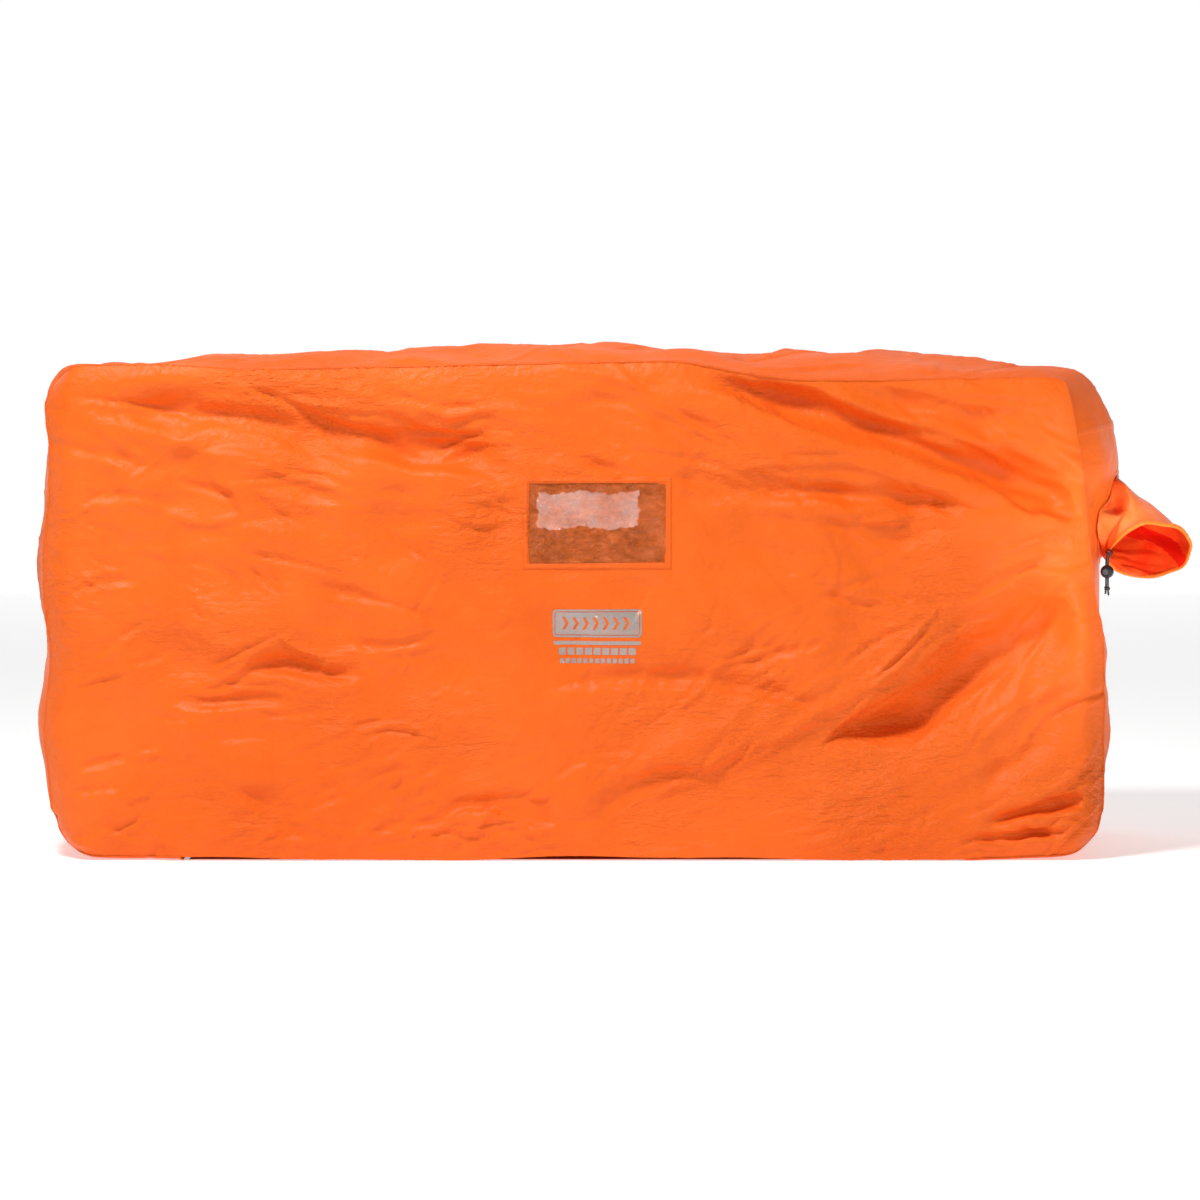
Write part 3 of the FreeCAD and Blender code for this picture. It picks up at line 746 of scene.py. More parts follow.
def broad_waves(x, z):
    """Slow swells drawn out along the pull: down to the right at the top, up to the right at the foot."""
    spacing = wall_spacing(x)
    swell = 0.0045 * noise_field(x.shape, spacing, 0.13, 0.50, 81)
    upper = step_up(z, 0.50, 0.62)
    lower = (1 - step_up(z, 0.28, 0.42)) * step_up(x, 0.0, 0.2)
    bend = 0.02 * noise_field(x.shape, spacing, 0.20, 0.8, 82)
    swell += upper * 0.0022 * np.sin(2 * np.pi * (z + 0.30 * x * np.where(x > 0, 1.5, 0.8) + bend) / 0.062)
    swell += lower * 0.0022 * np.sin(2 * np.pi * (z - 0.72 * x + bend) / 0.070)
    inside = step_up(0.90 - np.abs(x), 0, 0.10) * step_up(z, 0.0, 0.10) * step_up(0.86 - z, 0, 0.06)
    return swell * inside


def scattered_folds(x, z, seed):
    """Many small soft folds, each along the way the cloth is pulled where it lies."""
    rng = np.random.default_rng(seed)
    relief = np.zeros_like(x)
    for count, low, high, lean, length, depth, width in (
        (26, (-0.90, 0.62), (0.00, 0.84), -13, (0.10, 0.34), (0.0010, 0.0026), (0.006, 0.014)),
        (26, (0.05, 0.60), (0.90, 0.86), -25, (0.10, 0.36), (0.0010, 0.0028), (0.006, 0.014)),
        (26, (0.15, 0.04), (0.92, 0.45), 36, (0.08, 0.30), (0.0010, 0.0028), (0.005, 0.012)),
        (22, (-0.88, 0.04), (-0.25, 0.42), 12, (0.06, 0.22), (0.0009, 0.0024), (0.005, 0.011)),
        (16, (-0.35, 0.03), (0.20, 0.20), 20, (0.05, 0.16), (0.0009, 0.0022), (0.005, 0.010)),
        (18, (0.45, 0.36), (0.92, 0.62), 8, (0.06, 0.22), (0.0008, 0.0020), (0.005, 0.010)),
        (16, (-0.90, 0.40), (-0.30, 0.64), -28, (0.06, 0.24), (0.0007, 0.0018), (0.005, 0.011)),
        (20, (-0.50, 0.20), (0.50, 0.55), 60, (0.05, 0.16), (0.0005, 0.0012), (0.004, 0.009)),
        (34, (-0.88, 0.012), (0.90, 0.065), 7, (0.05, 0.18), (0.0010, 0.0026), (0.005, 0.010)),
    ):
        for _ in range(count):
            cx, cz = rng.uniform(low[0], high[0]), rng.uniform(low[1], high[1])
            way = math.radians(lean + rng.normal(0, 14))
            reach = rng.uniform(*length) / 2
            bow = rng.normal(0, 0.16) * reach
            dx, dz = math.cos(way), math.sin(way)
            points = [(cx + t * reach * dx - bow * (1 - t * t) * dz,
                       cz + t * reach * dz + bow * (1 - t * t) * dx)
                      for t in (-1.0, 0.0, 1.0)]
            size, shelf = 2.8 * rng.uniform(*depth), rng.uniform(0.2, 0.9)
            wide, way_up = rng.uniform(*width), rng.choice((-1.0, 1.0), p=(0.3, 0.7))
            near = (np.abs(x - cx) < reach + 0.05) & (np.abs(z - cz) < reach + 0.05)
            if near.any():
                relief[near] += fold(x[near], z[near], points, size * way_up, wide, shelf, (0.35, 0.35))
    return relief


WALL_REST = 0.318  # how far from the middle plane the walls' cloth hangs
WALL_LIMIT = 0.3295  # and the furthest that a fold stands out
SEAT_CLEAR = 0.3025  # nearer than this a wall would be in the way of a folded seat
SEAT_TOP = 0.195
SEAT_SIDE = 0.71


def keep_clear(p, facing):
    """Flattens folds that would stand out too far, or that would reach in to where a seat folds up."""
    depth = facing * p[..., 1]
    out_room, in_room = WALL_LIMIT - WALL_REST, WALL_REST - SEAT_CLEAR
    above = WALL_REST + out_room * (1 - np.exp(-np.maximum(depth - WALL_REST, 0) / out_room))
    below = SEAT_CLEAR + in_room * np.exp(np.minimum(depth - WALL_REST, 0) / in_room)
    by_seat = 1 - step_up(p[..., 2], SEAT_TOP, SEAT_TOP + 0.05)
    by_seat = by_seat * step_up(SEAT_SIDE + 0.05 - np.abs(p[..., 0]), 0, 0.05)
    held = np.where(depth > WALL_REST, above, depth + by_seat * (below - depth))
    q = p.copy()
    q[..., 1] = facing * held
    return q


def crinkle_relief(x, spacing, seed):
    """Fine crinkles of handled cloth, stronger in patches."""
    crinkle = np.abs(noise_field(x.shape, spacing, 0.007, 0.045, seed, 0.9))
    worn = step_up(noise_field(x.shape, spacing, 0.10, 0.45, seed + 1), -0.4, 1.2)
    return 0.0011 * worn * (np.minimum(crinkle, 1.4) - 0.7)


def wrinkle_back(p):
    """Swells, small folds and crinkles of the back wall."""
    x, z = p[..., 0], p[..., 2]
    n = normals(p)
    n *= np.sign(n[..., 1:2])
    spacing = wall_spacing(x)
    relief = scattered_folds(-x, z, 91) + scattered_folds(-x, z, 92) + broad_waves(-x, z)
    relief += crinkle_relief(x, spacing, 93)
    inner = inside_cloth(x, z)
    relief += 0.8 * inner * back_relief(x, z)
    window = np.maximum(np.abs(x - BACK_WINDOW_MIDDLE[0]) - 0.12, np.abs(z - BACK_WINDOW_MIDDLE[1]) - 0.06)
    relief *= 0.2 + 0.8 * step_up(window, 0.0, 0.03)
    edge = np.minimum.reduce([0.93 - np.abs(x), z, 0.875 - z])
    relief *= step_up(edge, 0.0, 0.03)
    return p + n * relief[..., None]


END_SEAM, END_SWELL = 0.915, 0.050  # the vent end: reach at its seams, and its swell between them


def wrinkle_band(p):
    """Swells, folds and crinkles of the cloth over the roof and down the ends."""
    rows, columns = p.shape[:2]
    n = normals(p)
    outward = p - np.array([0.0, 0.0, 0.45])
    n *= np.sign((n * outward * np.array([1.0, 0.0, 1.6])).sum(-1, keepdims=True))
    run = np.linspace(0, 3.9, rows)[:, None] * np.ones((1, columns))
    depth = np.linspace(-0.3, 0.3, columns)[None, :] * np.ones((rows, 1))
    spacing = (0.6 / columns, 3.9 / rows)
    relief = 0.0030 * noise_field((rows, columns), spacing, 0.14, 0.50, 95)
    relief += crinkle_relief(depth, spacing, 96)
    rng = np.random.default_rng(97)
    for _ in range(150):
        at, middle = rng.uniform(0.1, 3.8), rng.uniform(-0.24, 0.24)
        way, reach = math.radians(rng.normal(20, 40)), rng.uniform(0.04, 0.14)
        dx, dz = math.cos(way) * reach, math.sin(way) * reach
        bow = rng.normal(0, 0.012)
        points = [(middle - dx, at - dz), (middle + bow, at + bow), (middle + dx, at + dz)]
        size, wide = rng.uniform(0.002, 0.0055), rng.uniform(0.006, 0.015)
        near = (np.abs(run - at) < 0.2) & (np.abs(depth - middle) < 0.2)
        relief[near] += fold(depth[near], run[near], points, size, wide, rng.uniform(0.2, 0.9), (0.35, 0.35))
    edge = step_up(0.3 - np.abs(depth), 0.0, 0.05) * step_up(p[..., 2], 0.004, 0.05)
    off = p - (VENT_ROOT - np.array([MID, 0, 0]))
    from_vent = np.linalg.norm(off, axis=-1) - MOUTH_RADIUS
    edge = edge * step_up(from_vent, 0.015, 0.05)
    q = p + n * (relief * edge)[..., None]
    q[..., 2] = np.maximum(q[..., 2], 0.0012)
    reach = np.hypot(off[..., 1], off[..., 2])
    swept = step_up(reach, 0.05, 0.08) * (1 - step_up(reach, 0.21, 0.25))
    swept = swept * (1 - step_up(q[..., 2], 0.58, 0.62))
    swept = swept * step_up(0.3 - np.abs(q[..., 1]), 0.004, 0.035)
    limit = END_SEAM + END_SWELL * (1 - (q[..., 1] / HALF_DEPTH) ** 2) - 0.0015
    over = (q[..., 0] > limit) & (q[..., 0] > 0)
    q[..., 0] = np.where(over, q[..., 0] + swept * (limit - q[..., 0]), q[..., 0])
    return q


def add_creases(p):
    """Creases, small folds, swells and crinkles, laid on the settled cloth of the front wall."""
    x, z = p[..., 0], p[..., 2]
    n = normals(p)
    n *= np.sign(-n[..., 1:2])
    relief = np.zeros(x.shape)
    for points, depth, width in (
        ([(-0.905, 0.610), (-0.83, 0.655), (-0.722, 0.728)], 0.0016, 0.004),
        ([(-0.90, 0.575), (-0.85, 0.598), (-0.80, 0.64)], 0.0010, 0.004),
        ([(-0.48, 0.760), (-0.43, 0.775), (-0.375, 0.790)], 0.0010, 0.003),
        ([(-0.50, 0.285), (-0.46, 0.33), (-0.435, 0.36)], 0.0014, 0.004),
        ([(-0.60, 0.27), (-0.53, 0.25), (-0.50, 0.265)], 0.0014, 0.004),
        ([(0.29, 0.57), (0.36, 0.49), (0.42, 0.42)], 0.0012, 0.004),
        ([(0.47, 0.56), (0.50, 0.50), (0.56, 0.47)], 0.0012, 0.004),
        ([(0.22, 0.30), (0.34, 0.26), (0.455, 0.245)], 0.0012, 0.004),
        ([(0.25, 0.34), (0.28, 0.37), (0.33, 0.325)], 0.0012, 0.004),
        ([(0.04, 0.0), (0.035, 0.25), (0.04, 0.50)], 0.0006, 0.003),
        ([(0.035, 0.69), (0.036, 0.78), (0.035, 0.87)], 0.0006, 0.003),
        ([(0.70, 0.06), (0.80, 0.055), (0.91, 0.075)], 0.0022, 0.005),
        ([(0.67, 0.035), (0.72, 0.05), (0.80, 0.035)], 0.0020, 0.004),
        ([(-0.62, 0.02), (-0.56, 0.06), (-0.50, 0.07), (-0.44, 0.06)], 0.0020, 0.004),
        ([(-0.58, 0.10), (-0.52, 0.055), (-0.47, 0.015)], 0.0018, 0.004),
        ([(0.26, 0.02), (0.30, 0.05), (0.31, 0.085)], 0.0018, 0.004),
    ):
        d, s = path_distance(x, z, points)
        ends = step_up(s, 0, 0.15) * (1 - step_up(s, 0.85, 1))
        trough = np.exp(-((d / width) ** 2))
        ridge = 0.7 * np.exp(-(((d - 1.8 * width) / width) ** 2))
        relief += depth * ends * (trough - ridge)
    spacing = wall_spacing(x)
    crumple = np.abs(noise_field(x.shape, spacing, 0.016, 0.09, 21, 0.8))
    patches = step_up(noise_field(x.shape, spacing, 0.12, 0.5, 22), 0.2, 1.6)
    relief += 0.0014 * patches * np.minimum(crumple, 1.6)
    relief += scattered_folds(x, z, 77) + scattered_folds(x, z, 78) + broad_waves(x, z)
    inner = inside_cloth(x, z)
    relief += 0.55 * inner * eased(x, z) * front_relief(x, z)
    relief += crinkle_relief(x, spacing, 23)
    window = np.maximum(np.abs(x - WINDOW_MIDDLE[0]) - 0.135, np.abs(z - WINDOW_MIDDLE[1]) - 0.085)
    relief *= 0.25 + 0.75 * step_up(window, 0.0, 0.03)
    return p + n * relief[..., None]


# ---- camera, light and floor -----------------------------------------------------------------------------
def make_stage():
    scene = bpy.context.scene
    target = Vector((MID + 0.045, 0.0, 0.450))
    elevation = math.radians(3.0)
    distance = 8.3
    sensor, seen_width, seen_from = 36.0, 2.1408, 8.0  # lens for this width in metres at this distance
    camera_data = bpy.data.cameras.new("camera")
    camera_data.sensor_width = sensor
    camera_data.lens = sensor / seen_width * seen_from
    camera = bpy.data.objects.new("camera", camera_data)
    scene.collection.objects.link(camera)
    camera.location = target + Vector((0, -math.cos(elevation), math.sin(elevation))) * distance
    camera.rotation_euler = (target - camera.location).to_track_quat("-Z", "Y").to_euler()
    scene.camera = camera

    world = bpy.data.worlds.new("studio")
    world.use_nodes = True
    world.node_tree.nodes["Background"].inputs["Color"].default_value = (1.0, 1.0, 1.0, 1)
    world.node_tree.nodes["Background"].inputs["Strength"].default_value = 0.16
    scene.world = world
    scene.view_settings.view_transform = "Standard"

    for name, place, size, power, spread, toward in (
        ("key", (-1.3, -2.30, 3.7), 0.75, 152, 180, (0.0, -0.2, 0.42)),
        ("fill", (4.2, -3.3, 1.7), 2.0, 32, 180, (0.4, 0.0, 0.40)),
        ("top", (0.2, 1.4, 3.6), 2.4, 12, 180, (0.0, 0.1, 0.5)),
        ("low", (1.25, -1.6, 0.12), 0.4, 0.80, 30, tuple(MOUTH)),
    ):
        light = bpy.data.lights.new(name, "AREA")
        light.size = size
        light.energy = power
        light.spread = math.radians(spread)
        lamp = bpy.data.objects.new(name, light)
        lamp.location = place
        lamp.rotation_euler = (Vector(toward) - Vector(place)).to_track_quat("-Z", "Y").to_euler()
        scene.collection.objects.link(lamp)

    glow = Shader("backdrop")
    glow.set(Base_Color=(0, 0, 0, 1), Roughness=1.0, Emission_Color=(1, 1, 1, 1), Emission_Strength=1.0)
    wall = mesh_object("backdrop", [(-14, 9, -0.001), (14, 9, -0.001), (14, 9, 12), (-14, 9, 12)],
                       [(0, 1, 2, 3)], glow.material)

    m = Shader("floor")
    m.set(Base_Color=(0.86, 0.86, 0.86, 1), Roughness=0.9, Emission_Color=(1, 1, 1, 1),
          Emission_Strength=0.42)
    size = 30.0
    floor = mesh_object("floor", [(-size, -size, -0.0008), (size, -size, -0.0008), (size, size, -0.0008),
                                  (-size, size, -0.0008)], [(0, 1, 2, 3)], m.material)


# ---- looking up the settled front cloth ------------------------------------------------------------------
class Surface:
    """Finds the cloth's height and normal at any (x, z) of the front wall, near a given box."""

    def __init__(self, p, low_x, high_x, low_z, high_z, facing=-1):
        n = normals(p)
        n *= np.sign(facing * n[..., 1:2])
        inside = (p[..., 0] > low_x) & (p[..., 0] < high_x) & (p[..., 2] > low_z) & (p[..., 2] < high_z)
        self.p, self.n = p[inside], n[inside]

    def at(self, x, z):
        x, z = np.atleast_1d(x).astype(float), np.atleast_1d(z).astype(float)
        y, n = np.empty(len(x)), np.empty((len(x), 3))
        for start in range(0, len(x), 400):
            part = slice(start, start + 400)
            dx = x[part, None] - self.p[None, :, 0]
            dz = z[part, None] - self.p[None, :, 2]
            r2 = dx * dx + dz * dz
            near = np.argpartition(r2, 4, axis=1)[:, :4]
            r2 = np.take_along_axis(r2, near, 1)
            weight = 1 / (r2 + 1e-7)
            weight /= weight.sum(1, keepdims=True)
            nn, pp = self.n[near], self.p[near]
            plane = pp[..., 1] - (
                nn[..., 0] * np.take_along_axis(dx, near, 1) + nn[..., 2] * np.take_along_axis(dz, near, 1)
            ) / nn[..., 1]
            y[part] = (plane * weight).sum(1)
            n[part] = (nn * weight[..., None]).sum(1)
        n /= np.linalg.norm(n, axis=1, keepdims=True)
        return np.stack([x, y, z], axis=1), n


def resample(line, count):
    seg = np.linalg.norm(np.diff(line, axis=0), axis=1)
    run = np.concatenate([[0], np.cumsum(seg)])
    at = np.linspace(0, run[-1], count)
    return np.stack([np.interp(at, run, line[:, c]) for c in range(3)], axis=1)


def seam_line(p):
    """The wall's sewn edge: from where the foot's strip stops, round the corner, up, over and down again."""
    foot = p[0]
    left = foot[foot[:, 0] < -STRIP_END][::-1]
    right = foot[foot[:, 0] > STRIP_END][::-1]
    start = np.array([[-STRIP_END, np.interp(-STRIP_END, foot[:, 0], foot[:, 1]), foot[:, 2].min()]])
    end = np.array([[STRIP_END, np.interp(STRIP_END, foot[:, 0], foot[:, 1]), foot[:, 2].min()]])
    return np.vstack([start, left, p[1:, 0], p[-1, 1:], p[-2::-1, -1], right[1:], end])


# ---- back wall -------------------------------------------------------------------------------------------
def back_relief(x, z):
    d = np.zeros_like(x)
    for points, depth, width, shelf in (
        ([(-0.84, 0.80), (-0.55, 0.70), (-0.25, 0.66)], 0.016, 0.028, 0.7),
        ([(-0.70, 0.86), (-0.42, 0.79), (-0.16, 0.77)], 0.012, 0.024, 0.5),
        ([(0.90, 0.70), (0.62, 0.66), (0.30, 0.70)], 0.014, 0.030, 0.7),
        ([(0.86, 0.80), (0.55, 0.78), (0.28, 0.84)], 0.012, 0.024, 0.5),
        ([(-0.88, 0.45), (-0.55, 0.28), (-0.15, 0.10), (0.05, 0.02)], -0.020, 0.040, 0.0),
        ([(0.88, 0.40), (0.58, 0.22), (0.33, 0.03)], -0.016, 0.036, 0.0),
        ([(-0.30, 0.42), (0.05, 0.36), (0.35, 0.40)], 0.009, 0.026, 0.8),
        ([(0.50, 0.10), (0.70, 0.09), (0.88, 0.13)], 0.010, 0.016, 0.9),
        ([(-0.75, 0.08), (-0.58, 0.12), (-0.45, 0.05)], 0.009, 0.016, 0.9),
    ):
        d += fold(x, z, points, depth, width, shelf)
    return d


def make_back():
    columns, rows = ((141, 67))
    u, v = wall_grid(columns, rows)
    x, z = wall_outline_map(u, v)
    side_left, side_right, top = edge_roll(u, v, WALL_LENGTH, WALL_HEIGHT)
    back = 0.040 * side_left**2 + 0.040 * side_right**2 + 0.012 * top**2
    foot = 0.014 * (1 - np.clip(v * WALL_HEIGHT / 0.05, 0, 1)) ** 2
    inner = inside_form(u, v)
    y = HALF_DEPTH + 0.014 - back - foot + inner * back_relief(x, z)
    form = np.stack([x, y, z], axis=-1)
    hole = (
        BACK_WINDOW_LOW.x + FILM_OVERLAP - MID, BACK_WINDOW_HIGH.x - FILM_OVERLAP - MID,
        BACK_WINDOW_LOW.z + FILM_OVERLAP, BACK_WINDOW_HIGH.z - FILM_OVERLAP,
    )
    form = fit_to_hole(form, hole)
    pinned = edges_pinned(x.shape)
    near = np.hypot(np.maximum(np.abs(x - (hole[0] + hole[1]) / 2) - 0.11, 0),
                    np.maximum(np.abs(z - (hole[2] + hole[3]) / 2) - 0.05, 0))
    free_of_window = step_up(near, 0, 0.1)
    slack = spare_cloth(x, 31, 0.014) * (0.2 + 0.8 * free_of_window)
    p = settle(form, pinned, slack, 160, 0.004 + 0.05 * (1 - free_of_window), 5)
    return keep_clear(wrinkle_back(refine(p)), 1), hole


# ---- roof, ends and foot strips: one band of cloth round the shell ---------------------------------------
ROOF_SEAM_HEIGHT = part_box("roof_panel")[0].z


def band_relief(x, z, t, run):
    """Folds of the band of cloth, along the seams' run and across the depth t."""
    roof = step_up(z, 0.80, 0.86)
    middle = np.sin(np.pi * t) ** 0.7
    swells = 0.004 * np.sin(run * 9.0 + 2.4 * np.sin(run * 2.1))
    d = roof * middle * (swells + 0.003 * np.sin(run * 23 + t * 9))
    right_top = step_up(x, 0.84, 0.92) * step_up(z, 0.62, 0.72)
    d += right_top * middle * (0.006 * np.sin(t * 26 + z * 9) + 0.003 * np.sin(t * 47 - z * 12))
    left = step_up(-x, 0.84, 0.92) * step_up(z, 0.04, 0.12)
    d += left * middle * 0.004 * np.sin(t * 7 - z * 6 + 1.5 * np.sin(z * 11))
    return d


def make_band(front, back):
    around, across = ((301, 45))
    front_seam = resample(seam_line(front), around)
    back_seam = resample(seam_line(back), around)
    tangent = np.gradient(front_seam, axis=0)
    out = np.stack([-tangent[:, 2], np.zeros(around), tangent[:, 0]], axis=1)
    out /= np.linalg.norm(out, axis=1, keepdims=True)
    even = np.linspace(0, 1, across)
    t = 0.5 - 0.5 * np.cos(np.pi * even) * 0.35 - 0.325 * (1 - 2 * even)
    form = front_seam[:, None] * (1 - t)[None, :, None] + back_seam[:, None] * t[None, :, None]
    x, z = form[..., 0], form[..., 2]
    side = np.where(x < 0, BELLY_LEFT(z), BELLY_RIGHT(z))
    swell = out[:, None, 0] ** 2 * side + np.clip(out[:, None, 2], 0, 1) ** 2 * ROOF_RISE(x)
    arch = 1 - np.abs(2 * t - 1)[None, :] ** 3.2
    run = np.linspace(0, 3.9, around)[:, None] * np.ones((1, across))
    tt = t[None, :] * np.ones((around, 1))
    relief = band_relief(x, z, tt, run) * step_up(np.minimum(tt, 1 - tt), 0.0, 0.12)
    form = form + out[:, None] * (swell * arch + relief)[..., None]
    form[..., 2] = np.maximum(form[..., 2], 0.0012)
    pinned = edges_pinned(x.shape)
    on_floor = (z < 0.004) & (np.abs(x) < 0.86)
    uneven = step_up(noise_field(x.shape, (0.013, 0.013), 0.1, 0.4, 41), -0.5, 1.2)
    slack = np.where(on_floor, 0.001, 0.012) * (0.4 + 0.6 * uneven)
    p = settle(form, pinned, slack, 200, 0.006, 7)
    p[..., 2] = np.maximum(p[..., 2], 0.0012)
    return wrinkle_band(refine(p)), front_seam, back_seam, out


# ---- vent sleeve -----------------------------------------------------------------------------------------
VENT = next(j for j in frame["joints"] if j["name"] == "vent_swing")
VENT_ROOT = np.array(VENT["pos_m"])
VENT_OUT = np.array(VENT["axis"]) / np.linalg.norm(VENT["axis"])
ring = np.array([v.co for v in frame["nodes"]["vent_drawcord"].data.vertices], float)
MOUTH = (ring.max(0) + ring.min(0)) / 2
_, _, ring_axes = np.linalg.svd(ring - ring.mean(0), full_matrices=False)
FACING = ring_axes[2] * np.sign(ring_axes[2] @ VENT_OUT)
MOUTH_RADIUS = np.linalg.norm(ring - MOUTH, axis=1).mean()


CORD_DIAMETER = 0.0035
STRANDS = {
    "cord_strand_left": [(0.8857, -0.2329, 0.5476), (0.8824, -0.2411, 0.5410), (0.8806, -0.2456, 0.5311),
                         (0.8806, -0.2456, 0.5200), (0.8806, -0.2456, 0.4858)],
    "cord_strand_right": [(0.8892, -0.2343, 0.5476), (0.8860, -0.2425, 0.5410), (0.8841, -0.2470, 0.5311),
                          (0.8841, -0.2470, 0.5200), (0.8841, -0.2470, 0.4858)],
}
TAIL_START = np.mean([line[0] for line in STRANDS.values()], axis=0)
SURVEY = np.linspace(0, 2 * np.pi, 720, endpoint=False)


def unit(v):
    v = np.asarray(v, float)
    return v / np.linalg.norm(v)


def vent_frame(axis):
    """Two directions across an axis: one level, one up the slope."""
    level = unit(np.cross(axis, (0, 0, 1)))
    return level, unit(np.cross(level, axis))


MOUTH_WAY = unit(FACING + np.array([-0.24, 0.0, 0.0]))  # the limp mouth droops further round than its frame


def mouth_ring(angles, radius):
    """Points round the sleeve's mouth; the drawcord pulls it out of round, and its tail weighs it down."""
    def ring_at(a):
        level, up = vent_frame(MOUTH_WAY)
        r = radius * (1 + 0.030 * np.cos(2 * a + 0.5) + 0.012 * np.cos(5 * a) + 0.008 * np.sin(9 * a))
        nod = 0.0015 * np.sin(2 * a) + 0.0015 * np.sin(7 * a + 1)
        return MOUTH + np.outer(r * np.cos(a), level) + np.outer(r * np.sin(a), up) + np.outer(nod, MOUTH_WAY)

    level, up = vent_frame(FACING)
    frame_ring = MOUTH + MOUTH_RADIUS * (np.outer(np.cos(SURVEY), level) + np.outer(np.sin(SURVEY), up))
    held = frame_ring[np.linalg.norm(frame_ring - TAIL_START, axis=1).argmin()]
    own = ring_at(SURVEY)
    nearest = np.linalg.norm(own - held, axis=1).argmin()
    pull = np.exp(-((np.angle(np.exp(1j * (angles - SURVEY[nearest]))) / 0.75) ** 2))
    return ring_at(angles) + np.outer(pull, held - own[nearest])


def bump_round(angles, at, width):
    """A smooth bump on a circle, one high at an angle and dying away over a width."""
    return np.exp(-((np.angle(np.exp(1j * (angles - at))) / width) ** 2))


def fold_angle(s):
    """Where round the sleeve a long fold lies in its far side, from root to mouth."""
    return 3.15 + 0.50 * s


def make_sleeve(end_x):
    """Limp tube from the end wall to the mouth, with long slack folds and a tuck behind the mouth."""
    around, along = 144, 56
    angles = np.linspace(0, 2 * np.pi, around, endpoint=False)
    root_level, root_up = vent_frame(VENT_OUT)
    radius = MOUTH_RADIUS
    root = VENT_ROOT + np.outer(radius * np.cos(angles), root_level)
    root = root + np.outer(radius * np.sin(angles), root_up)
    root[:, 0] = [end_x(y, z) for y, z in root[:, 1:]]
    mouth = mouth_ring(angles, radius)
    reach = np.linalg.norm(MOUTH - VENT_ROOT)
    rows = []
    for k in range(along):
        s = k / (along - 1)
        h00, h10 = 2 * s**3 - 3 * s**2 + 1, s**3 - 2 * s**2 + s
        h01, h11 = -2 * s**3 + 3 * s**2, s**3 - s**2
        middle = (h00 * VENT_ROOT + h10 * reach * 0.8 * VENT_OUT
                  + h01 * MOUTH + h11 * reach * 0.7 * MOUTH_WAY)
        axis = unit((1 - s) * VENT_OUT + s * MOUTH_WAY)
        lv, uw = vent_frame(axis)
        ends = step_up(s, 0.0, 0.10) * (1 - step_up(s, 0.88, 1.0))
        limp = 1 + ends * (
            -0.085 * np.cos(angles - 1.9) ** 2
            + 0.040 * np.sin(5 * angles + 5.5 * s + 0.6)
            + 0.026 * np.sin(9 * angles - 7 * s)
            + 0.016 * np.sin(15 * angles + 11 * s + 2.0)
        )
        tuck = 0.52 * bump_round(angles, 1.00 - 0.5 * s, 0.30) * math.exp(-(((s - 0.34) / 0.20) ** 2))
        tuck += 0.24 * bump_round(angles, fold_angle(s), 0.16) * float(step_up(s, 0.10, 0.45))
        r = radius * (limp - ends * tuck)
        round_row = middle + np.outer(r * np.cos(angles), lv) + np.outer(r * np.sin(angles), uw)
        taut = 0.75 * bump_round(angles, 1.75, 0.85)[:, None]
        round_row = round_row + taut * ((1 - s) * root + s * mouth - round_row)
        to_root, to_mouth = (1 - step_up(s, 0.0, 0.22)), step_up(s, 0.72, 1.0)
        row = round_row + to_root * (root - round_row) + to_mouth * (mouth - round_row)
        spill = math.sin(math.pi * min(s / 0.62, 1.0)) ** 1.2
        row = row + spill * np.outer(bump_round(angles, 0.30, 0.50), 0.040 * root_level - 0.024 * VENT_OUT)
        row = row + spill * np.outer(bump_round(angles, 1.42, 0.30), 0.016 * root_level + 0.010 * root_up)
        wall = np.array([end_x(y, z) for y, z in row[:, 1:]])
        row[:, 0] = np.maximum(row[:, 0], wall + 0.004 * min(s / 0.05, 1.0))
        rows.append(row)
    return np.stack(rows)


